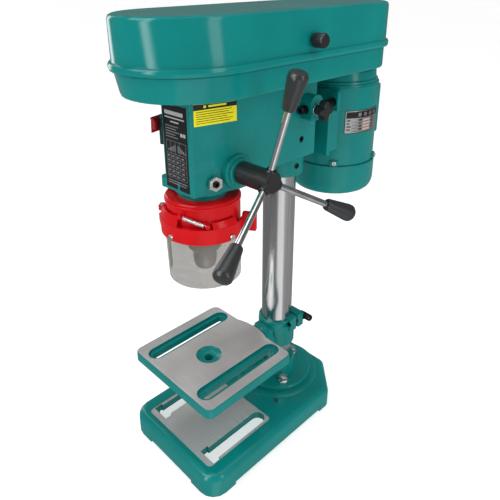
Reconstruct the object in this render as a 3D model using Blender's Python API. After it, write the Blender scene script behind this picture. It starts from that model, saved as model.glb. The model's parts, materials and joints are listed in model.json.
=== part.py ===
"""Bench drill press, modelled as the separate pieces that it is assembled from.

Run with:  blender --background --python part.py

Sizes are in millimetres and MM turns them into Blender's metres. +Z is up, +X is the
operator's right and -Y faces the operator. Every piece is laid out around the column:
the column's axis is x = y = 0 and the bench top is z = 0. The empty "machine" then moves
the whole layout so that the middle of the machine's box stands on the world origin.
"""

import math

import bmesh
import bpy
from mathutils import Matrix, Vector

MM = 0.001
GAP = 0.3  # clearance between pieces that touch

# ---- driving dimensions --------------------------------------------------------------
BOX_MIDDLE = (23.1, -22.4)  # middle of the machine's box, seen from the column
SWING = 140.0  # column axis to spindle axis
SPINDLE_Y = -SWING

COLUMN_R = 23.0
COLUMN_FOOT, COLUMN_TOP = 37.0, 470.0

BASE_HALF_WIDTH = 90.0
BASE_FRONT, BASE_REAR = -218.0, 72.0
BASE_TOP = 33.5
BASE_PLATE = 12.0  # thickness of the base's top
BOSS_TOP = 35.5  # top of the round boss under the column flange
BASE_PAD = (-68.0, -203.0, 68.0, -84.0)  # machined work surface: x, y, x, y
BASE_SLOT_X, BASE_SLOT_FRONT, BASE_SLOT_REAR = 53.0, -194.0, -86.0
BENCH_HOLE = (48.0, -54.5)

FLANGE_TOP, FLANGE_NECK_TOP = 42.0, 64.0
FLANGE_BOLT_CIRCLE = 40.0

TABLE_TOP = 142.0
TABLE_HALF_X, TABLE_HALF_Y = 80.5, 77.3
TABLE_THICK = 13.0
TABLE_MIDDLE_Y = -133.0
TABLE_SLOT_X, TABLE_SLOT_HALF = 53.0, 71.5
TILT_FACE_Y, TILT_AXIS_Z = -39.7, 112.0  # where the tilting faces meet, and their axis
BRACKET_BOTTOM, BRACKET_TOP = 95.0, 141.0
BRACKET_R = 28.0
CLAMP_SCREW_X = 28.0

HEAD_TOP, HEAD_REAR_BOTTOM, HEAD_FRONT_BOTTOM = 514.0, 409.0, 397.0
HEAD_FRONT, HEAD_REAR = -175.0, 25.0
HEAD_NOSE_HALF, HEAD_HALF = 26.5, 41.0
HEAD_TAPER_END = -116.0
COLLAR_BOTTOM, COLLAR_R = 380.0, 33.0
NECK_BOTTOM, NECK_R = 386.0, 31.0

SET_SCREW = (HEAD_HALF, -5.0, 434.0)  # locks the head on the column
GUIDE_ANGLE, GUIDE_Z = math.radians(-17.0), 412.5  # the screw that guides the quill

PINION_TEETH, GEAR_MODULE = 16, 1.0
PINION_PITCH_R = PINION_TEETH * GEAR_MODULE / 2
PRESSURE_ANGLE = math.radians(20)
RACK_PITCH_LINE = 12.5  # rack pitch line behind the spindle axis
FEED_Y = SPINDLE_Y + RACK_PITCH_LINE + PINION_PITCH_R
FEED_Z = 421.0
HUB_ROD_X = 89.0
ROD_TILT = math.radians(17.5)
ROD_LENGTH, GRIP_START, GRIP_END = 96.0, 89.0, 131.0

QUILL_R, QUILL_BOTTOM, QUILL_TOP = 14.0, 376.0, 490.0
CHUCK_BOTTOM, JAW_TILT = 286.5, math.radians(8)

PAN_BOTTOM, PAN_TOP = HEAD_TOP + GAP, 541.0
LID_BOTTOM, LID_TOP = 541.5, 598.0
COVER_HALF, COVER_FRONT, COVER_REAR = 78.0, -237.0, 163.0
BEAD = 3.5  # the lid's rolled edge stands this far out
PAN_TAPER = 6.0  # the pan's nose is this much shorter at its bottom
COVER_NOSE, COVER_TAIL = 87.0, 62.0  # lengths of the cover's rounded front and rear
SHEET = 2.0
LID_HINGE = (-87.5, 541.0)  # x, z of the hinge pin
HINGE_LEAVES = (-90.0, 60.0)
LID_KNOB = (-36.0, 564.0)  # y, z

MOTOR_Y, MOTOR_R = 122.0, 59.5
MOTOR_BOTTOM, MOTOR_SEAM, MOTOR_SHOULDER, MOTOR_TOP = 328.0, 375.0, 488.0, 508.0
BELL_R = 62.0  # the motor's lower bell is a little wider than its body
CAPACITOR_ANGLE = math.radians(-10)  # from straight behind the motor, towards the right
MOUNT_PLATE_Y = (48.0, 55.0)
SLIDE_BAR_X, SLIDE_BAR_Z = 48.0, 475.0
BELT_Z = 557.0
PULLEY_STEPS = (18.0, 22.0, 26.0, 30.0, 34.0)  # outer radii of the five grooves
STEP_HEIGHT = 8.4

SWITCH_Y, SWITCH_Z = -159.0, 469.0

GUARD_TOP, GUARD_BOTTOM, GUARD_R = 389.5, 352.0, 46.0
BAND_BOTTOM, BAND_TOP = 342.5, 362.0
GUARD_SCREW_Z, GUARD_SCREW_ANGLES = 347.0, (272.8, 358.65)
SHIELD_R, SHIELD_FOOT_R, SHIELD_BOTTOM, SHIELD_TOP = 48.3, 46.3, 280.0, 351.0
GUARD_PIN = (-57.0, -20.5)  # from the spindle axis
SHIELD_FROM, SHIELD_TO = math.radians(212), math.radians(398)
CLAMP_ANGLE = math.radians(100)

# ---- colours -------------------------------------------------------------------------
ENAMEL = ("enamel", (0.010, 0.205, 0.195), 0.25, 0.0)
STEEL = ("steel", (0.56, 0.56, 0.57), 0.30, 1.0)
DARK_STEEL = ("dark_steel", (0.10, 0.10, 0.11), 0.45, 1.0)
CHROME = ("chrome", (0.80, 0.80, 0.82), 0.10, 1.0)
BLACK = ("black_plastic", (0.015, 0.015, 0.017), 0.45, 0.0)
RED = ("red_plastic", (0.62, 0.010, 0.018), 0.30, 0.0)
GREEN = ("green_plastic", (0.02, 0.35, 0.06), 0.40, 0.0)
CLEAR = ("clear_plastic", (0.85, 0.87, 0.86), 0.08, 0.0)
ALUMINIUM = ("aluminium", (0.75, 0.75, 0.76), 0.35, 1.0)
RUBBER = ("belt_rubber", (0.02, 0.02, 0.02), 0.80, 0.0)
IRON = ("motor_iron", (0.25, 0.24, 0.23), 0.55, 1.0)


def clear_scene():
    for old in list(bpy.data.objects):
        bpy.data.objects.remove(old, do_unlink=True)


def material(spec):
    name, colour, roughness, metallic = spec
    found = bpy.data.materials.get(name)
    if found:
        return found
    made = bpy.data.materials.new(name)
    made.use_nodes = True
    shader = made.node_tree.nodes["Principled BSDF"]
    shader.inputs["Base Color"].default_value = (*colour, 1)
    shader.inputs["Roughness"].default_value = roughness
    shader.inputs["Metallic"].default_value = metallic
    made.diffuse_color = (*colour, 1)
    return made


# ---- mesh building, in millimetres around each piece's own origin ----------------------
AXIS_TURNS = {
    "Z": Matrix.Identity(4),
    "X": Matrix.Rotation(math.pi / 2, 4, "Y"),  # the shape's +Z becomes +X
    "Y": Matrix.Rotation(-math.pi / 2, 4, "X"),  # the shape's +Z becomes +Y
}


def polar(radius, angle, middle=(0.0, 0.0)):
    return (middle[0] + radius * math.cos(angle), middle[1] + radius * math.sin(angle))


def arc(middle, radius, start, end, steps):
    """Points along an arc, its two ends included."""
    span = end - start
    return [polar(radius, start + span * i / steps, middle) for i in range(steps + 1)]


def circle(radius, sides, middle=(0.0, 0.0), turn=0.0):
    return [polar(radius, turn + math.tau * i / sides, middle) for i in range(sides)]


def rounded(corners, radii, steps=4):
    """A polygon's outline with each corner replaced by an arc of the radius given."""
    points = []
    count = len(corners)
    for i, corner in enumerate(corners):
        radius = radii[i] if isinstance(radii, (list, tuple)) else radii
        if radius <= 0:
            points.append(tuple(corner))
            continue
        here = Vector(corner)
        before = (Vector(corners[i - 1]) - here).normalized()
        after = (Vector(corners[(i + 1) % count]) - here).normalized()
        half = before.angle(after) / 2
        reach = radius / math.tan(half)
        middle = here + (before + after).normalized() * (radius / math.sin(half))
        first = here + before * reach - middle
        last = here + after * reach - middle
        start = math.atan2(first.y, first.x)
        span = math.remainder(math.atan2(last.y, last.x) - start, math.tau)
        points += [polar(radius, start + span * k / steps, middle) for k in range(steps + 1)]
    return points


def rectangle(x0, y0, x1, y1):
    return [(x0, y0), (x1, y0), (x1, y1), (x0, y1)]


def prism(outline, low, high, axis="Z"):
    """The outline extruded from low to high. Along X it is drawn in (-Z, Y)."""
    mesh = bmesh.new()
    face = mesh.faces.new([mesh.verts.new((x, y, low)) for x, y in outline])
    top = bmesh.ops.extrude_face_region(mesh, geom=[face])
    lifted = [v for v in top["geom"] if isinstance(v, bmesh.types.BMVert)]
    bmesh.ops.translate(mesh, verts=lifted, vec=(0, 0, high - low))
    return finished(mesh, axis)


def block(x0, y0, z0, x1, y1, z1, edge=0.0):
    """A box between two corners, its edges rounded where edge is over 0."""
    mesh = prism(rectangle(x0, y0, x1, y1), z0, z1)
    if edge > 0:
        bmesh.ops.bevel(
            mesh, geom=mesh.edges[:], offset=edge, segments=2, profile=0.5, affect="EDGES"
        )
    return mesh


def turned(profile, sides=24, axis="Z", turn=0.0):
    """A profile of (radius, height) points turned about the axis. It closes on itself
    unless both of its ends lie on the axis."""
    mesh = bmesh.new()
    rings = []
    for radius, height in profile:
        if radius <= 0:
            rings.append([mesh.verts.new((0, 0, height))] * sides)
            continue
        rings.append([mesh.verts.new((x, y, height)) for x, y in circle(radius, sides, turn=turn)])
    solid = profile[0][0] <= 0 and profile[-1][0] <= 0
    for i in range(len(rings) - 1 if solid else len(rings)):
        low, high = rings[i], rings[(i + 1) % len(rings)]
        for k in range(sides):
            n = (k + 1) % sides
            corners = [low[k], low[n], high[n], high[k]]
            mesh.faces.new(list(dict.fromkeys(corners)))
    return finished(mesh, axis)


def rod_shape(radius, low, high, sides=12, axis="Z"):
    """A plain cylinder, turned a little so that its edges miss those of what it meets."""
    return turned([(0, low), (radius, low), (radius, high), (0, high)], sides, axis, 0.11)


def finished(mesh, axis="Z"):
    bmesh.ops.recalc_face_normals(mesh, faces=mesh.faces[:])
    bmesh.ops.transform(mesh, matrix=AXIS_TURNS[axis], verts=mesh.verts[:])
    return mesh


def moved(mesh, x=0.0, y=0.0, z=0.0):
    bmesh.ops.translate(mesh, verts=mesh.verts[:], vec=(x, y, z))
    return mesh


def rotated(mesh, angle, axis):
    bmesh.ops.transform(mesh, matrix=Matrix.Rotation(angle, 4, axis), verts=mesh.verts[:])
    return mesh


def soften(mesh, width, segments=2, sharper_than=40, keep=None):
    """Rounds the mesh's sharp edges, or those of them that keep(edge) picks."""
    limit = math.radians(sharper_than)
    edges = [e for e in mesh.edges if e.calc_face_angle(0.0) > limit]
    if keep:
        edges = [e for e in edges if keep(e)]
    bmesh.ops.bevel(
        mesh, geom=edges, offset=width, segments=segments, profile=0.5, affect="EDGES"
    )
    return mesh


def level_edge(height):
    """Picks edges that lie in the plane z = height."""
    return lambda edge: all(abs(v.co.z - height) < 0.01 for v in edge.verts)


# ---- objects ---------------------------------------------------------------------------
def piece(name, mesh, parent, spec, at=(0.0, 0.0, 0.0)):
    bmesh.ops.scale(mesh, vec=(MM, MM, MM), verts=mesh.verts[:])
    data = bpy.data.meshes.new(name)
    mesh.to_mesh(data)
    mesh.free()
    data.shade_smooth()
    data.set_sharp_from_angle(angle=math.radians(35))
    made = bpy.data.objects.new(name, data)
    bpy.context.scene.collection.objects.link(made)
    if spec:
        data.materials.append(material(spec))
    made.parent = parent
    made.location = Vector(at) * MM
    return made


def empty(name, parent, at=(0.0, 0.0, 0.0)):
    made = bpy.data.objects.new(name, None)
    bpy.context.scene.collection.objects.link(made)
    made.parent = parent
    made.location = Vector(at) * MM
    made.empty_display_size = 20 * MM
    return made


def boolean(target, mesh, operation):
    """Adds a Boolean of a hidden tool, drawn around the target's own origin."""
    tool = piece(f"{target.name}_tool_{len(target.modifiers)}", mesh, target, None)
    tool.hide_render = True
    tool.display_type = "WIRE"
    change = target.modifiers.new(operation.lower(), "BOOLEAN")
    change.operation = operation
    change.solver = "EXACT"
    change.object = tool
    return tool


def cut(target, mesh):
    return boolean(target, mesh, "DIFFERENCE")


def fuse(target, mesh):
    return boolean(target, mesh, "UNION")


def hex_screw(head_across, head_height, shank_r, shank_length, chamfer=0.8):
    """A hexagon screw whose head stands on z = 0, with its shank below."""
    head_r = head_across / math.sqrt(3)
    inner = head_across / 2 - 0.2
    mesh = turned(
        [
            (0, head_height),
            (inner, head_height),
            (head_r, head_height - chamfer),
            (head_r, 0),
            (shank_r, 0),
            (shank_r, -shank_length),
            (0, -shank_length),
        ],
        sides=6,
    )
    return mesh


def socket_screw(radius, length, socket_r, socket_depth, axis):
    """A headless set screw with a hexagon socket in its outer end at 0."""
    return turned(
        [
            (0, -socket_depth),
            (socket_r, -socket_depth),
            (socket_r, 0),
            (radius - 0.5, 0),
            (radius, -0.5),
            (radius, -length),
            (0, -length),
        ],
        sides=12,
        axis=axis,
    )


# ---- base and column -------------------------------------------------------------------
def base_outline(inset=0.0):
    half, front, rear = BASE_HALF_WIDTH - inset, BASE_FRONT + inset, BASE_REAR - inset
    chamfer = 47.0 - inset * 0.6
    corners = [
        (-half, front),
        (half, front),
        (half, rear - chamfer),
        (half - chamfer, rear),
        (chamfer - half, rear),
        (-half, rear - chamfer),
    ]
    round_front = max(24.0 - inset, 2.0)
    round_rear = max(16.0 - inset, 2.0)
    return rounded(corners, [round_front, round_front] + [round_rear] * 4)


def t_slot(x, front, rear, width, head_width, head_length):
    """Outline of a slot along Y with a square, wider front end."""
    half, head = width / 2, head_width / 2
    return [
        (x - head, front),
        (x + head, front),
        (x + head, front + head_length),
        (x + half, front + head_length),
        *arc((x, rear - half), half, 0, math.pi, 6),
        (x - half, front + head_length),
        (x - head, front + head_length),
    ]


def build_base(root):
    foot_height, wall = 4.5, 8.0
    mesh = soften(
        prism(base_outline(), 0, BASE_TOP), 9.0, segments=3, keep=level_edge(BASE_TOP)
    )
    base = piece("base", mesh, root, ENAMEL)
    boss = [(0, 14), (64, 14), (64, BOSS_TOP - 1.5), (62.5, BOSS_TOP), (0, BOSS_TOP)]
    fuse(base, turned(boss, 30, turn=0.03))
    cut(base, prism(base_outline(wall), -5, BASE_TOP - BASE_PLATE))
    along_side = (BASE_FRONT + 42, BASE_REAR - 68)
    cut(base, block(-120, along_side[0], -5, 120, along_side[1], foot_height))
    cut(base, block(-46, -260, -5, 46, 120, foot_height))
    for side in (-1, 1):
        slot = t_slot(side * BASE_SLOT_X, BASE_SLOT_FRONT, BASE_SLOT_REAR, 21, 27, 12)
        cut(base, prism(slot, 5, 60))
        cut(base, moved(rod_shape(5, 5, 60, 16), side * BENCH_HOLE[0], BENCH_HOLE[1]))
    x0, y0, x1, y1 = BASE_PAD
    cut(base, prism(rounded(rectangle(x0, y0, x1, y1), 6), BASE_TOP - 0.8, 60))
    cut(base, rod_shape(6, 5, 60, 16))


def build_column(root):
    bore = COLUMN_R + GAP
    bolt_angles = [math.radians(a) for a in (90, 210, 330)]
    flange = piece(
        "column_flange",
        turned(
            [
                (bore, BOSS_TOP + GAP),
                (56, BOSS_TOP + GAP),
                (56, FLANGE_TOP - 1.5),
                (54.5, FLANGE_TOP),
                (32.4, FLANGE_TOP),
                (31, FLANGE_TOP + 3),
                (29.5, FLANGE_NECK_TOP - 2),
                (28, FLANGE_NECK_TOP),
                (bore, FLANGE_NECK_TOP),
            ],
            sides=30,
        ),
        root,
        ENAMEL,
    )
    for angle in bolt_angles:
        x, y = polar(FLANGE_BOLT_CIRCLE, angle)
        cut(flange, moved(rod_shape(4.4, 30, 60), x, y))
    for number, angle in enumerate(bolt_angles, 1):
        x, y = polar(FLANGE_BOLT_CIRCLE, angle)
        bolt = hex_screw(12, 8, 4, FLANGE_TOP - BOSS_TOP - 0.6)
        piece(f"flange_bolt_{number}", bolt, root, STEEL, (x, y, FLANGE_TOP + GAP))
    tube = [
        (COLUMN_R - 3, COLUMN_FOOT),
        (COLUMN_R, COLUMN_FOOT),
        (COLUMN_R, COLUMN_TOP - 1),
        (COLUMN_R - 1, COLUMN_TOP),
        (COLUMN_R - 3, COLUMN_TOP),
    ]
    piece("column", turned(tube, sides=30), root, STEEL)


# ---- table -----------------------------------------------------------------------------
def build_table(root):
    lift = empty("table_lift_axis", root)
    bore = COLUMN_R + GAP
    bracket = piece(
        "table_bracket",
        turned(
            [
                (bore, BRACKET_BOTTOM),
                (BRACKET_R - 1.5, BRACKET_BOTTOM),
                (BRACKET_R, BRACKET_BOTTOM + 1.5),
                (BRACKET_R, BRACKET_TOP - 2),
                (BRACKET_R - 2, BRACKET_TOP),
                (bore, BRACKET_TOP),
            ],
            sides=24,
        ),
        lift,
        ENAMEL,
    )
    disc_front = TILT_FACE_Y
    disc = turned([(0, 0), (21, 0), (22, 1), (22, 12), (0, 12)], 18, axis="Y")
    fuse(bracket, moved(disc, 0, disc_front, TILT_AXIS_Z))
    neck = block(-16, disc_front + 6, TILT_AXIS_Z - 15, 16, -bore - 1.2, TILT_AXIS_Z + 19, 1.5)
    fuse(bracket, neck)
    for sign in (-1, 1):
        ear = rounded([(8, -7), (33, -7), (33, 7), (8, 7)], [0, 3, 3, 0])
        ear_mesh = moved(prism([(x, y + sign * 8.2) for x, y in ear], 124, 146), 0, 12)
        fuse(bracket, soften(ear_mesh, 1.2, keep=level_edge(146)))
    cut(bracket, block(15, 12 - 1.2, 80, 60, 12 + 1.2, 160))
    cut(bracket, rod_shape(bore, 80, 160, 24))
    cut(bracket, moved(rod_shape(4.3, -60, 60, 12, "Y"), CLAMP_SCREW_X, 12, 135))
    cut(bracket, moved(rod_shape(5.3, -15, 13, 12, "Y"), 0, disc_front, TILT_AXIS_Z))

    clamp = turned(
        [(0, -21), (3.9, -21), (3.9, 7.5 + GAP), (6, 7.5 + GAP), (6, 12), (0, 12)], 12, axis="Y"
    )
    clamp_screw = piece("table_clamp_screw", clamp, lift, DARK_STEEL, (CLAMP_SCREW_X, 19.5, 135))
    handle = turned([(0, -7), (4.6, -7), (5.2, -5), (5.2, 12), (4.4, 14), (0, 14)], 16, axis="X")
    fuse(clamp_screw, moved(handle, 0, 13.2, 0))

    tilt = empty("table_tilt_axis", lift, (0, disc_front, TILT_AXIS_Z))
    middle = TABLE_MIDDLE_Y - disc_front
    top = TABLE_TOP - TILT_AXIS_Z
    half, deep = TABLE_HALF_X, TABLE_HALF_Y
    outline = rounded(rectangle(-half, middle - deep, half, middle + deep), 10, steps=4)
    plate = soften(prism(outline, top - TABLE_THICK, top), 1.5, segments=2, keep=level_edge(top))
    table = piece("table", plate, tilt, ENAMEL)
    lobe = arc((0, middle + deep - 68.5), 74, math.radians(62), math.radians(118), 10)
    fuse(table, prism(lobe, top - TABLE_THICK + 1, top - 0.02))
    fuse(table, turned([(0, -40), (21, -40), (22, -39), (22, -GAP), (0, -GAP)], 18, axis="Y"))
    for side in (-1, 1):
        fuse(table, block(side * 17 - 3, middle - 60, top - 27, side * 17 + 3, -10, top - 8))
        x, slot_y = side * TABLE_SLOT_X, middle + 2
        for half_width, depth in ((12.0, 4), (6.0, 60)):
            reach = TABLE_SLOT_HALF + half_width - 12.0
            slot = arc((x, slot_y + reach - half_width), half_width, 0, math.pi, 8)
            slot += arc((x, slot_y - reach + half_width), half_width, math.pi, math.tau, 8)
            cut(table, prism(slot, top - depth, top + 20))
    drill_boss = turned([(0, -30), (13, -30), (14, -29), (14, -6), (0, -6)], 20, turn=0.06)
    fuse(table, moved(drill_boss, 0, SPINDLE_Y - disc_front, top))
    cut(table, rod_shape(5.3, -50, 20, 12, "Y"))
    drill_hole = turned([(0, -60), (6.5, -60), (6.5, -5), (13, -4.5), (18, -1), (18.6, 20), (0, 20)], 20)
    cut(table, moved(drill_hole, 0, SPINDLE_Y - disc_front, top))

    bolt = [(0, -46), (7.3, -46), (7.3, -40.3), (4.9, -40.3), (4.9, 12), (0, 12)]
    piece("tilt_bolt", turned(bolt, 6, axis="Y"), lift, STEEL, (0, disc_front, TILT_AXIS_Z))


# ---- head casting ----------------------------------------------------------------------
def head_outline(inset=0.0):
    nose, half = HEAD_NOSE_HALF - inset, HEAD_HALF - inset
    front, rear = HEAD_FRONT + inset, HEAD_REAR - inset
    corners = [
        (-nose, front),
        (nose, front),
        (half, HEAD_TAPER_END),
        (half, rear),
        (-half, rear),
        (-half, HEAD_TAPER_END),
    ]
    return rounded(corners, [3, 3, 12, 4, 4, 12], steps=3)


def build_head(root):
    mesh = soften(
        prism(head_outline(), HEAD_FRONT_BOTTOM, HEAD_TOP), 1.5, keep=level_edge(HEAD_FRONT_BOTTOM)
    )
    head = piece("head_casting", mesh, root, ENAMEL)
    cut(head, block(-60, -88, 380, 60, 60, HEAD_REAR_BOTTOM))
    cut(head, prism(head_outline(6.0), 419, HEAD_TOP + 10))
    fuse(head, turned([(0, 400), (30, 400), (30, 486), (0, 486)], 24))
    fuse(head, moved(turned([(0, 400), (21, 400), (21, 500), (0, 500)], 20), 0, SPINDLE_Y))
    collar = [
        (0, COLLAR_BOTTOM),
        (COLLAR_R - 1.5, COLLAR_BOTTOM),
        (COLLAR_R, COLLAR_BOTTOM + 1.5),
        (COLLAR_R, 425),
        (0, 425),
    ]
    fuse(head, turned(collar, 24))
    neck = [
        (0, NECK_BOTTOM),
        (NECK_R - 1, NECK_BOTTOM),
        (NECK_R, NECK_BOTTOM + 1),
        (NECK_R, 393),
        (34.5, 395),
        (35.5, 397),
        (35.5, 410),
        (33.5, 413),
        (0, 413),
    ]
    fuse(head, moved(turned(neck, 24), 0, SPINDLE_Y))
    lug_middle, lug_r = (-43.0, -159.0), 8.0
    lug = arc(lug_middle, lug_r, math.radians(110), math.radians(290), 8)
    lug += [(-22, SPINDLE_Y - 26), (-22, SPINDLE_Y - 10)]
    fuse(head, soften(prism(lug, 390.5, 404), 1.2, sharper_than=60))
    right_boss = [
        (0, 20),
        (21, 20),
        (21, 43.5),
        (20, 44.5),
        (17, 44.5),
        (17, 47),
        (16, 48),
        (0, 48),
    ]
    fuse(head, moved(turned(right_boss, 20, axis="X"), 0, FEED_Y, FEED_Z))
    left_boss = [(0, -45), (19, -45), (20, -44), (20, -20), (0, -20)]
    fuse(head, moved(turned(left_boss, 18, axis="X"), 0, FEED_Y, FEED_Z))
    ear = rounded([(-493, -9), (-461, -9), (-461, 13), (-493, 13)], [9, 4, 4, 9])
    for low, high in ((35, 58), (-58, -35)):
        fuse(head, prism(ear, low, high, axis="X"))
    cut(head, rod_shape(COLUMN_R + GAP, 370, 471, 30))
    bore = QUILL_R + GAP
    quill_bore = [(0, 370), (bore, 370), (bore, 494), (9, 494), (9, 530), (0, 530)]
    cut(head, moved(turned(quill_bore, 20, turn=0.07), 0, SPINDLE_Y))
    shaft_bore = [(0, -70), (6.4, -70), (6.4, -10.4), (9.6, -10.4), (9.6, 70), (0, 70)]
    cut(head, moved(turned(shaft_bore, 20, "X", turn=0.05), 0, FEED_Y, FEED_Z))
    for side in (-1, 1):
        bar_bore = rod_shape(5.8, -90, 60, 16, "Y")
        cut(head, moved(bar_bore, side * SLIDE_BAR_X, 0, SLIDE_BAR_Z))
    cut(head, moved(rod_shape(3.4, 0, 30, 12, "X"), SLIDE_BAR_X, 1, SLIDE_BAR_Z))
    x, y, z = SET_SCREW
    cut(head, moved(rod_shape(4.4, -14, 26, 12, "X"), x, y, z))
    guide_hole = rotated(rod_shape(4.5, 12, 60, 12, "X"), GUIDE_ANGLE, "Z")
    cut(head, moved(guide_hole, 0, SPINDLE_Y, GUIDE_Z))


def build_head_fittings(root):
    screw = socket_screw(4, 13, 2.2, 3, "X")
    piece("head_set_screw", screw, root, DARK_STEEL, (SET_SCREW[0] - 0.5, *SET_SCREW[1:]))
    guide_at = (0, SPINDLE_Y, GUIDE_Z)
    seat = 36.2
    guide = [
        (0, 11.6),
        (1.6, 11.6),
        (1.6, 16),
        (4, 16),
        (4, seat + 6.5),
        (2.3, seat + 6.5),
        (2.3, seat + 3.5),
        (0, seat + 3.5),
    ]
    guide = rotated(turned(guide, 12, axis="X"), GUIDE_ANGLE, "Z")
    piece("quill_guide_screw", guide, root, DARK_STEEL, guide_at)
    nut = [(4.7, seat), (9, seat), (9, seat + 5), (4.7, seat + 5)]
    nut = rotated(turned(nut, 6, axis="X"), GUIDE_ANGLE, "Z")
    piece("quill_guide_nut", nut, root, STEEL, guide_at)
    cap = [(0, -62), (21, -62), (23, -60), (23, -45 - GAP), (6.6, -45 - GAP), (6.6, -55), (0, -55)]
    piece("return_spring_cap", turned(cap, 20, axis="X"), root, ENAMEL, (0, FEED_Y, FEED_Z))


# ---- quill, spindle, chuck ---------------------------------------------------------------
def rack_gaps(low, high):
    """Comb outline in (-Z, Y): the material removed between the rack's teeth."""
    pitch = math.pi * GEAR_MODULE
    tip, root_line = RACK_PITCH_LINE + 0.85, RACK_PITCH_LINE - 1.25
    lean = math.tan(PRESSURE_ANGLE)
    quarter = pitch / 4 - 0.12
    points = [(-high, 30), (-high, tip)]
    first = math.ceil((low - FEED_Z) / pitch)
    last = math.floor((high - FEED_Z) / pitch) - 1
    for k in range(last, first - 1, -1):
        gap_middle = FEED_Z + (k + 0.5) * pitch
        half_tip = pitch / 2 - quarter + (tip - RACK_PITCH_LINE) * lean
        half_root = pitch / 2 - quarter - (RACK_PITCH_LINE - root_line) * lean
        points += [
            (-(gap_middle + half_tip), tip),
            (-(gap_middle + half_root), root_line),
            (-(gap_middle - half_root), root_line),
            (-(gap_middle - half_tip), tip),
        ]
    points += [(-low, tip), (-low, 30)]
    return points


def pinion_outline():
    """Involute teeth in (-Z, Y), one gap facing the rack at rest."""
    base_r = PINION_PITCH_R * math.cos(PRESSURE_ANGLE)
    tip_r, root_r = PINION_PITCH_R + 0.85, PINION_PITCH_R - 1.2
    involute_at_pitch = math.tan(PRESSURE_ANGLE) - PRESSURE_ANGLE
    half_tooth = math.pi / (2 * PINION_TEETH) - 0.12 / PINION_PITCH_R
    points = []
    for tooth in range(PINION_TEETH):
        middle = -math.pi / 2 + (tooth + 0.5) * math.tau / PINION_TEETH
        flank = []
        for step in range(4):
            r = base_r + (tip_r - base_r) * step / 3
            roll = math.acos(min(1.0, base_r / r))
            flank.append((r, half_tooth + involute_at_pitch - (math.tan(roll) - roll)))
        foot = flank[0][1]
        points.append(polar(root_r, middle - foot - 0.03))
        points += [polar(r, middle - a) for r, a in flank]
        points += [polar(r, middle + a) for r, a in reversed(flank)]
        points.append(polar(root_r, middle + foot + 0.03))
    return points


def build_quill(root):
    slide = empty("quill_axis", root, (0, SPINDLE_Y, 0))
    bearing_r, bearing_depth = 10.9, 7.6
    quill = turned(
        [
            (7.4, QUILL_BOTTOM + bearing_depth),
            (bearing_r, QUILL_BOTTOM + bearing_depth),
            (bearing_r, QUILL_BOTTOM),
            (QUILL_R - 0.5, QUILL_BOTTOM),
            (QUILL_R, QUILL_BOTTOM + 0.5),
            (QUILL_R, QUILL_TOP),
            (bearing_r, QUILL_TOP),
            (bearing_r, QUILL_TOP - bearing_depth),
            (7.4, QUILL_TOP - bearing_depth),
        ],
        sides=20,
    )
    quill = piece("quill", quill, slide, STEEL)
    cut(quill, prism(rack_gaps(406, 482), -30, 30, axis="X"))
    groove = block(10.8, -2, 392, 20, 2, 470)
    cut(quill, rotated(groove, GUIDE_ANGLE, "Z"))
    ring = [(6.1, 0), (10.5, 0), (10.5, 7), (6.1, 7)]
    piece("quill_bearing", turned(ring, 20), slide, STEEL, (0, 0, QUILL_BOTTOM + 0.3))

    spindle = [
        (0, 336),
        (7.2, 336),
        (7.9, 356),
        (10, 357),
        (10, QUILL_BOTTOM - 3),
        (7.5, QUILL_BOTTOM - 2),
        (5.7, QUILL_BOTTOM - 2),
        (5.7, QUILL_TOP + 3),
        (5, QUILL_TOP + 4),
        (5, 574),
        (4, 575),
        (0, 575),
    ]
    spin = empty("spindle_axis", slide)
    piece("spindle", turned(spindle, 20), spin, STEEL)
    build_chuck(spin)


def build_chuck(spin):
    low, seat = CHUCK_BOTTOM, 350.5
    body = [
        (7.55, 335),
        (8.25, 351),
        (8.25, 355),
        (15, 355),
        (17, 353.5),
        (17, seat + GAP),
        (13, seat + GAP),
        (13, 312),
        (14.8, 311.5),
        (14.8, 299),
        (13.6, 291),
        (10.4, low),
        (6.6, low),
        (10.8, low + 32),
        (4, low + 33),
        (4, 335),
    ]
    piece("chuck_body", turned(body, 20), spin, STEEL)
    turn = empty("chuck_sleeve_axis", spin)
    sleeve = [
        (13.3, 312.3),
        (19, 312.3),
        (21, 315),
        (21, 322),
        (19.8, 324),
        (19.8, seat - 2),
        (18.6, seat),
        (13.3, seat),
    ]
    piece("chuck_sleeve", turned(sleeve, 22), turn, STEEL)
    for number in (1, 2, 3):
        angle = math.radians(120 * number - 30)
        jaw = turned([(0, 0), (1.1, 0), (2.2, 3), (2.2, 20), (0, 20)], 8)
        at = (*polar(2.75, angle), low - 2.5)
        jaw_object = piece(f"chuck_jaw_{number}", jaw, spin, DARK_STEEL, at)
        jaw_object.rotation_euler = (0, JAW_TILT, angle)


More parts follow.
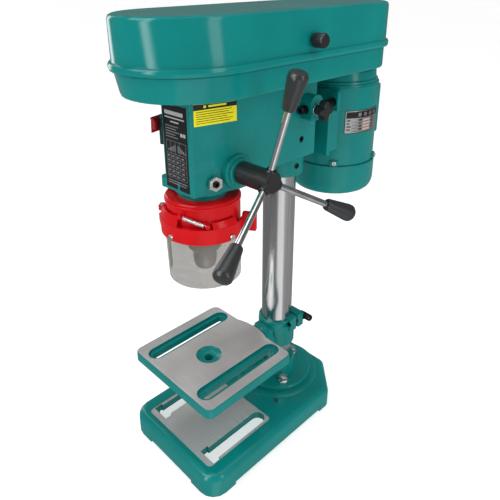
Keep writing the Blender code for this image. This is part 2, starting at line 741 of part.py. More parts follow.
# ---- feed handle ---------------------------------------------------------------------------
def build_feed(root):
    turn = empty("feed_axis", root, (0, FEED_Y, FEED_Z))
    shaft = turned([(0, -53), (6, -53), (6, 76), (0, 76)], 20, axis="X")
    shaft = piece("feed_pinion_shaft", shaft, turn, STEEL)
    fuse(shaft, prism(pinion_outline(), -10, 10, axis="X"))
    hub = turned(
        [
            (0, 77),
            (6.35, 77),
            (6.35, 11),
            (9.1, 11),
            (9.1, 48.6),
            (12.5, 48.6),
            (13.5, 49.6),
            (13.5, 79),
            (12.9, 80),
            (12.9, 97),
            (11, 99),
            (0, 99),
        ],
        sides=20,
        axis="X",
    )
    hub = piece("feed_hub", hub, turn, BLACK)
    for number in (0, 1, 2):
        angle = math.tau * number / 3
        along = Matrix.Rotation(-angle, 4, "X") @ Matrix.Rotation(ROD_TILT, 4, "Y")
        boss = turned([(0, 0), (6.6, 0), (6.6, 15), (5.8, 16), (0, 16)], 16)
        bmesh.ops.transform(boss, matrix=along, verts=boss.verts[:])
        fuse(hub, moved(boss, HUB_ROD_X, 0, 0))
    for number in (0, 1, 2):
        angle = math.tau * number / 3
        along = Matrix.Rotation(-angle, 4, "X") @ Matrix.Rotation(ROD_TILT, 4, "Y")
        socket = rod_shape(4.3, 9, 30, 16)
        bmesh.ops.transform(socket, matrix=along, verts=socket.verts[:])
        cut(hub, moved(socket, HUB_ROD_X, 0, 0))
        rod = turned([(0, 9.5), (3.9, 9.5), (3.9, ROD_LENGTH), (0, ROD_LENGTH)], 16)
        rod = piece(f"feed_rod_{number + 1}", rod, turn, CHROME, (HUB_ROD_X, 0, 0))
        rod.rotation_euler = along.to_euler()
        grip = turned(
            [
                (0, ROD_LENGTH + 1),
                (4.3, ROD_LENGTH + 1),
                (4.3, GRIP_START),
                (6.6, GRIP_START),
                (7.4, GRIP_START + 1.5),
                (10.8, GRIP_END - 8),
                (10.6, GRIP_END - 4),
                (8.6, GRIP_END - 1),
                (0, GRIP_END),
            ],
            20,
        )
        grip = piece(f"feed_grip_{number + 1}", grip, turn, BLACK, (HUB_ROD_X, 0, 0))
        grip.rotation_euler = along.to_euler()


# ---- chuck guard -----------------------------------------------------------------------------
def sector(inner, outer, start, end, steps):
    return arc((0, 0), outer, start, end, steps) + arc((0, 0), inner, end, start, steps)


def build_guard(root):
    centre = empty("guard_centre", root, (0, SPINDLE_Y, 0))
    clamp_r, throat_r = NECK_R + GAP, 26
    collar = turned(
        [
            (throat_r, GUARD_BOTTOM),
            (GUARD_R, GUARD_BOTTOM),
            (GUARD_R, GUARD_TOP - 1.5),
            (GUARD_R - 1.5, GUARD_TOP),
            (clamp_r, GUARD_TOP),
            (clamp_r, NECK_BOTTOM - GAP),
            (throat_r, NECK_BOTTOM - GAP),
        ],
        sides=24,
    )
    collar = piece("guard_collar", collar, centre, RED)
    reach, pin_angle = math.hypot(*GUARD_PIN), math.atan2(GUARD_PIN[1], GUARD_PIN[0])
    lug = rounded([(36, -6.5), (reach + 5, -5), (reach + 5, 5), (36, 6.5)], [0, 4, 4, 0])
    lug_low, lug_high = GUARD_BOTTOM + 1.5, GUARD_BOTTOM + 7.5
    fuse(collar, rotated(prism(lug, lug_low, lug_high), pin_angle, "Z"))
    ears = block(40, -7, 366, 56, 7, GUARD_TOP - 1, 1.5)
    fuse(collar, rotated(ears, CLAMP_ANGLE, "Z"))
    cut(collar, rotated(block(20, -1, 340, 70, 1, 400), CLAMP_ANGLE, "Z"))
    clamp_hole = moved(rod_shape(2.4, -20, 20, 10, "Y"), 51.5, 0, 377)
    cut(collar, rotated(clamp_hole, CLAMP_ANGLE, "Z"))
    cut(collar, moved(rod_shape(2.3, 340, 400), *GUARD_PIN))
    head, tip = 7 + GAP, -9
    screw = [(0, tip), (2.1, tip), (2.1, head), (4.2, head), (4.2, head + 3), (0, head + 3.5)]
    screw = moved(rotated(turned(screw, 12, axis="Y"), math.pi, "Z"), 51.5, 0, 377)
    piece("guard_clamp_screw", rotated(screw, CLAMP_ANGLE, "Z"), centre, STEEL)
    low, high = 334, lug_high + GAP
    pin = turned([(0, low), (2, low), (2, high), (3.6, high), (3.6, high + 2), (0, high + 2)], 12)
    piece("guard_hinge_pin", pin, centre, STEEL, (*GUARD_PIN, 0))

    swing = empty("guard_swing_axis", centre, (*GUARD_PIN, 0))
    back = (-GUARD_PIN[0], -GUARD_PIN[1])
    band_inner, band_outer = SHIELD_R + 0.7, SHIELD_R + 4.7
    band = prism(sector(band_inner, band_outer, SHIELD_FROM, SHIELD_TO, 26), BAND_BOTTOM, BAND_TOP)
    band = piece("guard_band", moved(band, *back), swing, RED)
    link_low, link_high = 336, 345
    to_band = Vector(polar(band_inner + 2, SHIELD_FROM + 0.05)) - Vector(GUARD_PIN)
    reach = to_band.length - 1.5
    link = rounded([(-10.5, -5), (reach, -5), (reach, 3.5), (-10.5, 5)], [4.5, 0, 0, 4.5])
    link = rotated(prism(link, link_low, link_high), math.atan2(to_band.y, to_band.x), "Z")
    fuse(band, link)
    shoulder = sector(GUARD_R + 0.8, band_inner + 1.5, SHIELD_FROM + 0.08, math.radians(372), 25)
    fuse(band, moved(prism(shoulder, BAND_TOP - 3.2, BAND_TOP - 0.4), *back))
    tab = block(band_inner + 0.6, -4, BAND_BOTTOM + 1, 67, 4, BAND_TOP + 5, 1.2)
    fuse(band, moved(rotated(tab, SHIELD_TO - 0.09, "Z"), *back))
    cut(band, rod_shape(2.3, 330, 390, 10))
    shield = prism(
        sector(SHIELD_R - 1.6, SHIELD_R, SHIELD_FROM, SHIELD_TO, 26), SHIELD_BOTTOM, SHIELD_TOP
    )
    taper = SHIELD_FOOT_R / SHIELD_R
    foot = [v for v in shield.verts if v.co.z < SHIELD_BOTTOM + 1]
    bmesh.ops.scale(shield, vec=(taper, taper, 1), verts=foot)
    shield = piece("guard_shield", moved(shield, *back), swing, CLEAR)
    for number, degrees in enumerate(GUARD_SCREW_ANGLES, 1):
        angle = math.radians(degrees)
        for target in (band, shield):
            hole = moved(rod_shape(2.2, -8, 20, 10, "X"), SHIELD_R, 0, GUARD_SCREW_Z)
            cut(target, moved(rotated(hole, angle, "Z"), *back))
        head = band_outer - SHIELD_R + GAP
        screw = [(0, -4), (1.9, -4), (1.9, head), (3.7, head), (3.3, head + 1.8), (0, head + 1.8)]
        screw = rotated(moved(turned(screw, 12, axis="X"), SHIELD_R, 0, GUARD_SCREW_Z), angle, "Z")
        piece(f"guard_screw_{number}", moved(screw, *back), swing, STEEL)
    build_guard_spring(centre)


def build_guard_spring(centre):
    """A coil spring, here a tube, across the front of the collar, its left end higher."""
    ends_r = GUARD_R + 4.3
    left = Vector((*polar(ends_r, math.radians(295)), 374.5))
    right = Vector((*polar(ends_r, math.radians(322)), 365.5))
    half = (right - left).length / 2
    coil = turned([(1.6, -half), (2.6, -half), (2.6, half), (1.6, half)], 12)
    spring = piece("guard_spring", coil, centre, STEEL, (left + right) / 2)
    spring.rotation_euler = (right - left).to_track_quat("Z", "Y").to_euler()


# ---- belt cover --------------------------------------------------------------------------------
def cover_outline(offset, steps=9):
    """Outline of the belt cover, round at both ends, moved outwards by offset."""
    half = COVER_HALF + offset
    nose_y, tail_y = COVER_FRONT + COVER_NOSE, COVER_REAR - COVER_TAIL
    points = []
    for middle, length, start in ((nose_y, COVER_NOSE, math.pi), (tail_y, COVER_TAIL, 0.0)):
        for i in range(steps * 2 + 1):
            angle = start + math.pi * i / (steps * 2)
            points.append((half * math.cos(angle), middle + (length + offset) * math.sin(angle)))
    return points


def pan_solid(offset, low, high):
    """The pan's outline extruded, its nose drawn in towards the bottom."""
    mesh = prism(cover_outline(offset), low, high)
    nose_y = COVER_FRONT + COVER_NOSE
    for vertex in mesh.verts:
        ahead = max(0.0, (nose_y - vertex.co.y) / COVER_NOSE)
        down = max(0.0, PAN_TOP - vertex.co.z) / (PAN_TOP - PAN_BOTTOM)
        shrink = 1 - PAN_TAPER * ahead * down / COVER_NOSE
        vertex.co.x *= shrink
        vertex.co.y = nose_y + (vertex.co.y - nose_y) * shrink
    return mesh


def build_cover(root):
    pan_edge = -1.5  # the pan's wall stands this far inside the lid's outline
    pan = soften(pan_solid(pan_edge, PAN_BOTTOM, PAN_TOP), 3.0, keep=level_edge(PAN_BOTTOM))
    pan = piece("belt_pan", pan, root, ENAMEL)
    cut(pan, pan_solid(pan_edge - SHEET, PAN_BOTTOM + SHEET, PAN_TOP + 20))
    cut(pan, moved(rod_shape(11, 500, 560, 20), 0, SPINDLE_Y))
    slot = arc((0, MOTOR_Y), 16, 0, math.pi, 8) + arc((0, MOTOR_Y - 14), 16, math.pi, math.tau, 8)
    cut(pan, prism(slot, 500, 560))

    opening = empty("lid_axis", root, (LID_HINGE[0], 0, LID_HINGE[1]))
    back = (-LID_HINGE[0], 0, -LID_HINGE[1])
    lid = soften(prism(cover_outline(0), LID_BOTTOM, LID_TOP), 5.0, keep=level_edge(LID_TOP))
    lid = piece("belt_lid", moved(lid, *back), opening, ENAMEL)
    bead = prism(cover_outline(BEAD), LID_BOTTOM, LID_BOTTOM + 9.5)
    bead = soften(bead, 3.4, sharper_than=60)
    fuse(lid, moved(bead, *back))
    for y in HINGE_LEAVES:
        for side in (-1, 1):
            fuse(lid, block(-3.6, y + side * 15.8 - 3.2, -3.6, 9.2, y + side * 15.8 + 3.2, 5))
    hollow = prism(cover_outline(-SHEET), LID_BOTTOM - 10, LID_TOP - SHEET)
    hollow = soften(hollow, 4.4, keep=level_edge(LID_TOP - SHEET))
    cut(lid, moved(hollow, *back))
    for y in HINGE_LEAVES:
        cut(lid, moved(rod_shape(2.6, -25, 25, 12, "Y"), 0, y, 0))
    knob_at = (COVER_HALF + back[0], LID_KNOB[0], LID_KNOB[1] + back[2])
    cut(lid, moved(rod_shape(3.4, -20, 20, 12, "X"), *knob_at))
    knob = [
        (0, -8),
        (3, -8),
        (3, GAP),
        (5.4, GAP),
        (5.4, 3),
        (8, 3),
        (8.4, 4.5),
        (8.4, 15),
        (7, 17),
        (0, 17),
    ]
    piece("lid_knob", turned(knob, 18, axis="X"), empty("lid_knob_axis", opening, knob_at), BLACK)
    for number, y in enumerate(HINGE_LEAVES, 1):
        pin = turned([(0, -21), (2.2, -21), (2.2, 21), (0, 21)], 12, axis="Y")
        leaf = piece(f"lid_hinge_{number}", pin, root, STEEL, (LID_HINGE[0], y, LID_HINGE[1]))
        fuse(leaf, rod_shape(3.4, -12, 12, 14, "Y"))
        fuse(leaf, block(-1.2, -12, -19, 1.2, 12, 0))
        fuse(leaf, block(-1.2, -12, -19, 10.6, 12, -16.6))


# ---- pulleys and belt ----------------------------------------------------------------------------
def pulley_profile(radii, bore, hub_low):
    """Half section of a step pulley whose grooves have the outer radii given, from the
    bottom up, the middle groove lying at BELT_Z."""
    low = BELT_Z - STEP_HEIGHT * 2.5
    outer = [(bore, hub_low), (13, hub_low), (13, low)]
    for i, radius in enumerate(radii):
        z = low + i * STEP_HEIGHT
        outer += [
            (radius, z),
            (radius, z + 0.9),
            (radius - 5, z + 2.6),
            (radius - 5, z + STEP_HEIGHT - 2.6),
            (radius, z + STEP_HEIGHT - 0.9),
        ]
    top = low + len(radii) * STEP_HEIGHT
    outer += [(radii[-1], top), (bore, top)]
    return outer


def build_drive(root, motor):
    spin = empty("spindle_pulley_axis", root, (0, SPINDLE_Y, 0))
    profile = pulley_profile(PULLEY_STEPS, 5.4, 519.5)
    piece("spindle_pulley", turned(profile, 20), spin, ALUMINIUM)
    rotor_spin = empty("motor_axis", motor)
    profile = pulley_profile(PULLEY_STEPS[::-1], 5.4, 522)
    piece("motor_pulley", turned(profile, 20), rotor_spin, ALUMINIUM)
    rotor = [
        (0, MOTOR_BOTTOM + 8),
        (6, MOTOR_BOTTOM + 8),
        (6, 352),
        (29, 352),
        (29, 448),
        (6, 448),
        (6, 510),
        (5, 511),
        (5, 580),
        (0, 580),
    ]
    piece("motor_rotor", turned(rotor, 18), rotor_spin, IRON)

    def loop(radius):
        front = arc((0, SPINDLE_Y), radius, math.pi, math.tau, 14)
        return front + arc((0, MOTOR_Y), radius, 0, math.pi, 14)

    groove_r = PULLEY_STEPS[2] - 5
    belt = prism(loop(groove_r + 4.4), BELT_Z - 1.4, BELT_Z + 1.4)
    belt = piece("drive_belt", belt, root, RUBBER)
    cut(belt, prism(loop(groove_r + 0.4), BELT_Z - 10, BELT_Z + 10))


# ---- motor ---------------------------------------------------------------------------------------
def build_motor(root):
    motor = empty("motor_slide_axis", root, (0, MOTOR_Y, 0))
    wall = MOTOR_R - 3.5
    body = [
        (wall, MOTOR_SEAM + GAP),
        (MOTOR_R, MOTOR_SEAM + GAP),
        (MOTOR_R, MOTOR_SHOULDER - GAP),
        (wall, MOTOR_SHOULDER - GAP),
    ]
    piece("motor_body", turned(body, 30), motor, ENAMEL)
    top = [
        (8, MOTOR_SHOULDER - 3),
        (wall - GAP, MOTOR_SHOULDER - 3),
        (wall - GAP, MOTOR_SHOULDER),
        (MOTOR_R, MOTOR_SHOULDER),
        (MOTOR_R, MOTOR_SHOULDER + 1.5),
        (MOTOR_R - 2, MOTOR_SHOULDER + 3),
        (MOTOR_R - 2, MOTOR_SHOULDER + 5.5),
        (MOTOR_R - 4.5, MOTOR_SHOULDER + 7),
        (MOTOR_R - 5, MOTOR_TOP - 2),
        (MOTOR_R - 7, MOTOR_TOP),
        (12, MOTOR_TOP),
        (12, MOTOR_TOP + 2),
        (8, MOTOR_TOP + 2),
    ]
    piece("motor_top_bell", turned(top, 30), motor, ENAMEL)
    bottom = [
        (0, MOTOR_BOTTOM + 4),
        (BELL_R - 14, MOTOR_BOTTOM + 4),
        (BELL_R - 8, MOTOR_BOTTOM + 9),
        (wall, MOTOR_BOTTOM + 14),
        (wall, MOTOR_SEAM),
        (BELL_R, MOTOR_SEAM),
        (BELL_R, MOTOR_BOTTOM + 18),
        (BELL_R - 1.2, MOTOR_BOTTOM + 10.5),
        (BELL_R - 4, MOTOR_BOTTOM + 5),
        (BELL_R - 9, MOTOR_BOTTOM + 1.5),
        (BELL_R - 16, MOTOR_BOTTOM),
        (0, MOTOR_BOTTOM),
    ]
    piece("motor_bottom_bell", turned(bottom, 30), motor, ENAMEL)
    box_y = MOTOR_R - 6
    box = rotated(block(-22, box_y, 403, 22, box_y + 18, 479, 3), CAPACITOR_ANGLE, "Z")
    box = piece("capacitor_box", box, motor, ENAMEL)
    cut(box, rod_shape(MOTOR_R + 1, 380, 500, 30))

    near, far = MOUNT_PLATE_Y[0] - MOTOR_Y, MOUNT_PLATE_Y[1] - MOTOR_Y
    plate = piece("motor_mount_plate", block(-43, near, 398, 43, far, 470, 1.5), motor, ENAMEL)
    fuse(plate, block(-56, near, 463, 56, far, 489, 1.5))
    for side in (-1, 1):
        fuse(plate, block(side * 32 - 9, far - 3, 402, side * 32 + 9, far + 20, 486, 1))
        bar_hole = rod_shape(5.8, near - 10, far + 1, 16, "Y")
        cut(plate, moved(bar_hole, side * SLIDE_BAR_X, 0, SLIDE_BAR_Z))
    cut(plate, rod_shape(MOTOR_R + 1, 380, 500, 30))
    for name, side in (("slide_bar_left", -1), ("slide_bar_right", 1)):
        bar = [(0, -68), (2.5, -68), (2.5, -73), (4.7, -73), (5.3, -72), (5.3, 0), (0, 0)]
        bar = turned(bar, 16, axis="Y")
        bar = moved(bar, side * SLIDE_BAR_X, far - 0.5, SLIDE_BAR_Z)
        piece(name, bar, motor, DARK_STEEL)
    return motor


def build_star_knob(root):
    turn = empty("star_knob_axis", root, (0, 1, SLIDE_BAR_Z))
    face = 60.2
    start = SLIDE_BAR_X + 5.5 + GAP
    stud = [(0, start), (3, start), (3, face), (6.5, face), (6.5, face + 5), (0, face + 5)]
    knob = piece("star_knob", turned(stud, 16, axis="X"), turn, BLACK)
    lobes = [
        polar(10.2 + 3.0 * math.cos(4 * math.tau * i / 40), math.tau * i / 40) for i in range(40)
    ]
    star = soften(prism(lobes, face + 4, face + 15), 1.5, sharper_than=70)
    fuse(knob, turned_to_x(star))


def turned_to_x(mesh):
    bmesh.ops.transform(mesh, matrix=AXIS_TURNS["X"], verts=mesh.verts[:])
    return mesh


# ---- switch --------------------------------------------------------------------------------------
def build_switch(root):
    """The switch on the head's tapering left wall: local +X points out of the wall and
    local +Y runs forwards along it."""
    taper = math.atan2(HEAD_HALF - HEAD_NOSE_HALF, HEAD_TAPER_END - HEAD_FRONT)
    wall_x = -(HEAD_NOSE_HALF + (SWITCH_Y - HEAD_FRONT) * math.tan(taper))
    mount = empty("switch_mount", root, (wall_x, SWITCH_Y, SWITCH_Z))
    mount.rotation_euler = (0, 0, math.pi + taper)
    box = piece("switch_box", block(0.4, -16, -19, 5, 16, 15, 1.0), mount, BLACK)
    for name, y, spec in (("start_button", -7.5, GREEN), ("stop_button", 7.5, RED)):
        cut(box, moved(rod_shape(5.9, 1.2, 20, 18, "X"), 0, y, 0))
        button = turned([(0, 3.6), (5.5, 3.6), (5.5, 5.2), (4.9, 5.8), (0, 5.8)], 18, axis="X")
        piece(name, button, mount, spec, (0, y, 0))
    hinge = empty("switch_flap_axis", mount, (7.4, 0, 13.5))
    flap = soften(prism([(-0.9, -16), (0.9, -16), (0.9, 25), (-0.9, 25)], -17, 1), 0.5)
    flap = piece("switch_flap", rotated(flap, math.radians(-3), "Y"), hinge, RED)
    fuse(flap, rod_shape(1.7, -16, 25, 12, "Y"))
    cheek = prism([(0.3, 0), (0.3, 13), (-4.5, 13), (-4.5, 3), (-2, 0)], 22, 24.6, axis="Y")
    fuse(flap, cheek)
    for side in (-1, 1):
        fuse(box, block(3, side * 14 - 1.5, 9, 5.4, side * 14 + 1.5, 14.6))


def main():
    clear_scene()
    root = empty("machine", None, (-BOX_MIDDLE[0], -BOX_MIDDLE[1], 0))
    build_base(root)
    build_column(root)
    build_table(root)
    build_head(root)
    build_head_fittings(root)
    build_quill(root)
    build_feed(root)
    build_guard(root)
    build_cover(root)
    motor = build_motor(root)
    build_drive(root, motor)
    build_star_knob(root)
    build_switch(root)


main()
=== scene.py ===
"""The looks of the bench drill press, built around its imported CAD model.

The frame is the CAD model's: +Z is up, -Y faces the operator and the bench top is z = 0.
Blender works in metres. What belongs to the machine is written in millimetres and scaled by
MM, most of it from the axes of the column, the spindle and the motor.
"""

import json
import math

import bmesh
import bpy
from mathutils import Matrix, Vector


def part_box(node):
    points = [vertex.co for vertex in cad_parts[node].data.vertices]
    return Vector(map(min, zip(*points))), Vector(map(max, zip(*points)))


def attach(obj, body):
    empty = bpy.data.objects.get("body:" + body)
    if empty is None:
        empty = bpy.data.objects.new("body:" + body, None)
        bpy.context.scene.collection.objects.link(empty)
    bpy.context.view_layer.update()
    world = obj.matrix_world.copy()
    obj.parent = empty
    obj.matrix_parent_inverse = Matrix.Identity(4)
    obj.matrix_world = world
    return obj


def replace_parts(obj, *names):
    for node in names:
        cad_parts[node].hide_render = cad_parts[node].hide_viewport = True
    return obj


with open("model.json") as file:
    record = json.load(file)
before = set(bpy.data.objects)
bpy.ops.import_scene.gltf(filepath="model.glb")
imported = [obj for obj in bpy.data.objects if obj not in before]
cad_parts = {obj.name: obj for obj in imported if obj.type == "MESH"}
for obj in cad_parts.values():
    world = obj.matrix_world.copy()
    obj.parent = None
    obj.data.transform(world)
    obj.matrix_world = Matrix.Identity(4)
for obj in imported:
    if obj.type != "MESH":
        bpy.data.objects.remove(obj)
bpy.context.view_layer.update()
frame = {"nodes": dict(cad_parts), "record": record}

MM = 0.001
BODY_OF = {
    node: body
    for body, nodes in frame["record"]["behaviour"]["bodies"].items()
    for node in nodes
}


def middle_of(node):
    low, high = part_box(node)
    return (low + high) / 2


COLUMN = middle_of("column")
SPINDLE = middle_of("spindle")
MOTOR = middle_of("motor_body")
FEED = middle_of("feed_pinion_shaft")

# Millimetres, except the last two.
HEAD_NOSE, HEAD_SIDE = 26.5, 41.0  # half widths of the head's nose and of its sides
HEAD_FRONT, TAPER_END = -175.0, -116.0  # the y between which the head widens
MOTOR_RADIUS = 59.5
SEAM_HEIGHT = 379.8  # of the lugs and screws at the motor's lower seam
BASE_PAD = 32.7  # height of the base's machined pad
WASHER_SEAT = 42.05  # height, just above the column's flange
RIB_RADIUS = 46.9  # outside the rings round the guard's collar
SHOULDER_RADIUS = 52.6  # at the foot of the slopes above the guard's swinging band
SPRING_RADIUS = 51.8  # from the spindle's axis to the guard's spring
SHARP_ANGLE = 35  # degrees: sharper edges stay crisp
SAME_POINT = 1e-7  # metres


def at(x, y, z):
    """A point given in millimetres from the column's axis and the bench top."""
    return Vector((COLUMN.x + x * MM, COLUMN.y + y * MM, z * MM))


def facing(x, y, z, degrees):
    """Lays +X outwards, turned by some degrees about the vertical, at a point."""
    return Matrix.Translation(at(x, y, z)) @ Matrix.Rotation(math.radians(degrees), 4, "Z")


def around(centre, radius, z, degrees):
    """The same, at a radius from a vertical axis and facing away from it."""
    turn = Matrix.Rotation(math.radians(degrees), 4, "Z")
    out = Matrix.Translation((radius * MM, 0, 0))
    return Matrix.Translation((centre.x, centre.y, z * MM)) @ turn @ out


# ---- materials ---------------------------------------------------------------------------
class Shader:
    """A node material in the making: a Principled shader and the nodes that feed it.
    Patterns follow object coordinates, so they stay on a piece when it moves."""

    def __init__(self, name, colour, roughness, metallic=0.0):
        self.material = bpy.data.materials.new(name)
        self.material.use_nodes = True
        self.tree = self.material.node_tree
        self.principled = self.tree.nodes["Principled BSDF"]
        self.set("Base Color", (*colour, 1))
        self.set("Roughness", roughness)
        self.set("Metallic", metallic)
        self.place = self.add("ShaderNodeTexCoord")

    def add(self, kind, **settings):
        node = self.tree.nodes.new(kind)
        for key, value in settings.items():
            setattr(node, key, value)
        return node

    def link(self, source, target):
        self.tree.links.new(source, target)
        return source

    def set(self, socket, value):
        self.principled.inputs[socket].default_value = value
        return self

    def stretched(self, scale):
        mapping = self.add("ShaderNodeMapping")
        mapping.inputs["Scale"].default_value = scale
        self.link(self.place.outputs["Object"], mapping.inputs["Vector"])
        return mapping.outputs["Vector"]

    def noise(self, scale, stretch=(1, 1, 1), detail=3.0):
        """Noise with about scale x stretch features per metre along each axis."""
        node = self.add("ShaderNodeTexNoise")
        node.inputs["Scale"].default_value = scale
        node.inputs["Detail"].default_value = detail
        self.link(self.stretched(stretch), node.inputs["Vector"])
        return node.outputs["Fac"]

    def ranged(self, source, low, high, start=0.0, end=1.0):
        """Source from start to end, spread over low to high."""
        node = self.add("ShaderNodeMapRange")
        limits = {"From Min": start, "From Max": end, "To Min": low, "To Max": high}
        for key, value in limits.items():
            node.inputs[key].default_value = value
        self.link(source, node.inputs["Value"])
        return node.outputs["Result"]

    def computed(self, operation, first, second):
        """One arithmetic step on two sockets or numbers."""
        node = self.add("ShaderNodeMath", operation=operation)
        for value, socket in ((first, node.inputs[0]), (second, node.inputs[1])):
            if isinstance(value, (int, float)):
                socket.default_value = value
            else:
                self.link(value, socket)
        return node.outputs[0]

    def mixed(self, factor, first, second):
        """Two colours or sockets mixed by a factor."""
        node = self.add("ShaderNodeMix", data_type="RGBA")
        self.link(factor, node.inputs["Factor"])
        for value, socket in ((first, node.inputs["A"]), (second, node.inputs["B"])):
            if isinstance(value, tuple):
                socket.default_value = (*value, 1)
            else:
                self.link(value, socket)
        return node.outputs["Result"]

    def roughness_from(self, source, low, high):
        self.link(self.ranged(source, low, high), self.principled.inputs["Roughness"])
        return self

    def colour_from(self, source, first, second):
        """The colour from first to second, over the middle of the source's range."""
        ramp = self.ranged(source, 0, 1, 0.3, 0.7)
        self.link(self.mixed(ramp, first, second), self.principled.inputs["Base Color"])
        return self

    def bump(self, source, distance, edge=0.0006):
        """Bumps of a height in metres over edges that are softened by a small radius."""
        node = self.add("ShaderNodeBump")
        node.inputs["Distance"].default_value = distance
        node.inputs["Strength"].default_value = 1.0
        self.link(source, node.inputs["Height"])
        if edge:
            soft = self.add("ShaderNodeBevel", samples=4)
            soft.inputs["Radius"].default_value = edge
            self.link(soft.outputs["Normal"], node.inputs["Normal"])
        self.link(node.outputs["Normal"], self.principled.inputs["Normal"])
        return self


ENAMEL_COLOUR = (0.003, 0.200, 0.188)
ENAMEL_DARK, ENAMEL_LIGHT = (0.002, 0.182, 0.172), (0.003, 0.220, 0.206)
CAST_GRAIN, CAST_SCALE = 0.00016, 190  # enamel on cast iron
LEVEL = 0.98  # how upright a face's normal is where the casting is machined
BARE_METALLIC = 0.45


def enamel(name, grain, roughness, scale):
    """Glossy green enamel: an even coat that shows a little of the metal's texture."""
    shader = Shader(name, ENAMEL_COLOUR, 0.25)
    shader.colour_from(shader.noise(14, detail=4), ENAMEL_DARK, ENAMEL_LIGHT)
    shader.roughness_from(shader.noise(45), *roughness)
    shader.set("Coat Weight", 0.12).set("Coat Roughness", 0.05).set("Specular IOR Level", 0.24)
    return shader.bump(shader.noise(scale, detail=2), grain, edge=0.0011)


def brushed(name, colour, roughness, stretch, depth, dark=0.78):
    """Machined metal with fine tool marks along the axis that is stretched least."""
    shader = Shader(name, colour, roughness, 1.0)
    marks = shader.noise(1.0, stretch, detail=4)
    shader.colour_from(marks, tuple(c * dark for c in colour), colour)
    shader.roughness_from(marks, roughness * 0.7, roughness * 1.35)
    return shader.bump(marks, depth)


def plastic(name, colour, roughness, grain=0.00004, scale=900, coat=0.0, specular=0.5):
    """Moulded plastic or rubber: even colour with a fine grain."""
    shader = Shader(name, colour, roughness)
    speckle = shader.noise(scale, detail=3)
    shader.set("Specular IOR Level", specular)
    shader.colour_from(shader.noise(60), tuple(c * 0.88 for c in colour), colour)
    shader.roughness_from(speckle, roughness * 0.8, roughness * 1.2)
    shader.set("Coat Weight", coat).set("Coat Roughness", 0.08)
    return shader.bump(speckle, grain, edge=0.0004)


def faced(name, low, high, stretch):
    """Enamelled casting whose level faces between two heights are machined bare."""
    shader = enamel(name, CAST_GRAIN, (0.16, 0.30), CAST_SCALE)
    principled = shader.principled
    coat = {s: principled.inputs[s].links[0].from_socket for s in ("Base Color", "Roughness")}
    split = shader.add("ShaderNodeSeparateXYZ")
    shader.link(shader.place.outputs["Object"], split.inputs[0])
    upright = shader.add("ShaderNodeVectorTransform", vector_type="NORMAL")
    upright.convert_from, upright.convert_to = "WORLD", "OBJECT"
    shader.link(shader.add("ShaderNodeNewGeometry").outputs["True Normal"], upright.inputs[0])
    normal = shader.add("ShaderNodeSeparateXYZ")
    shader.link(upright.outputs[0], normal.inputs[0])
    over = shader.computed("GREATER_THAN", split.outputs["Z"], low)
    under = shader.computed("LESS_THAN", split.outputs["Z"], high)
    level = shader.computed("GREATER_THAN", normal.outputs["Z"], LEVEL)
    between = shader.computed("MULTIPLY", over, under)
    bare = shader.computed("MULTIPLY", between, level)
    marks = shader.noise(1.0, stretch, detail=4)
    # Painted reflection: large clouds of lighter and darker colour on the bare metal stand in for
    # the room mirrored in it.
    reflection_clouds = shader.noise(11, (1, 0.6, 1), detail=2)
    soft = shader.ranged(reflection_clouds, 0, 1, 0.3, 0.7)
    painted_reflection = shader.mixed(soft, (0.42, 0.41, 0.40), (0.74, 0.73, 0.73))
    lines = shader.mixed(shader.ranged(marks, 0, 0.45, 0.35, 0.7), painted_reflection, (0.40, 0.39, 0.39))
    shader.link(shader.mixed(bare, coat["Base Color"], lines), principled.inputs["Base Color"])
    rough = shader.add("ShaderNodeMix", data_type="FLOAT")
    shader.link(bare, rough.inputs["Factor"])
    shader.link(coat["Roughness"], rough.inputs["A"])
    shader.link(shader.ranged(marks, 0.30, 0.46), rough.inputs["B"])
    shader.link(rough.outputs["Result"], principled.inputs["Roughness"])
    shader.link(shader.computed("MULTIPLY", bare, BARE_METALLIC), principled.inputs["Metallic"])
    return shader


def clear(name):
    """Smoky clear plastic, scuffed in use: each face lets about half the light through."""
    shader = Shader(name, (0.20, 0.188, 0.166), 0.08)
    scuffs = shader.noise(55, (1, 1, 4), detail=5)
    shader.roughness_from(scuffs, 0.05, 0.16)
    shader.link(shader.ranged(scuffs, 0.49, 0.61), shader.principled.inputs["Alpha"])
    return shader.bump(shader.noise(120), 0.00002, edge=0)


def ink(name, colour):
    """Printed foil: even colour with a trace of the print's grain."""
    roughness = 0.35
    shader = Shader(name, colour, roughness)
    grain = shader.noise(1600, detail=2)
    shader.colour_from(grain, tuple(c * 0.92 for c in colour), colour)
    shader.roughness_from(grain, roughness * 0.9, roughness * 1.1)
    shader.set("Specular IOR Level", 0.3)
    return shader.bump(grain, 0.000005, edge=0)


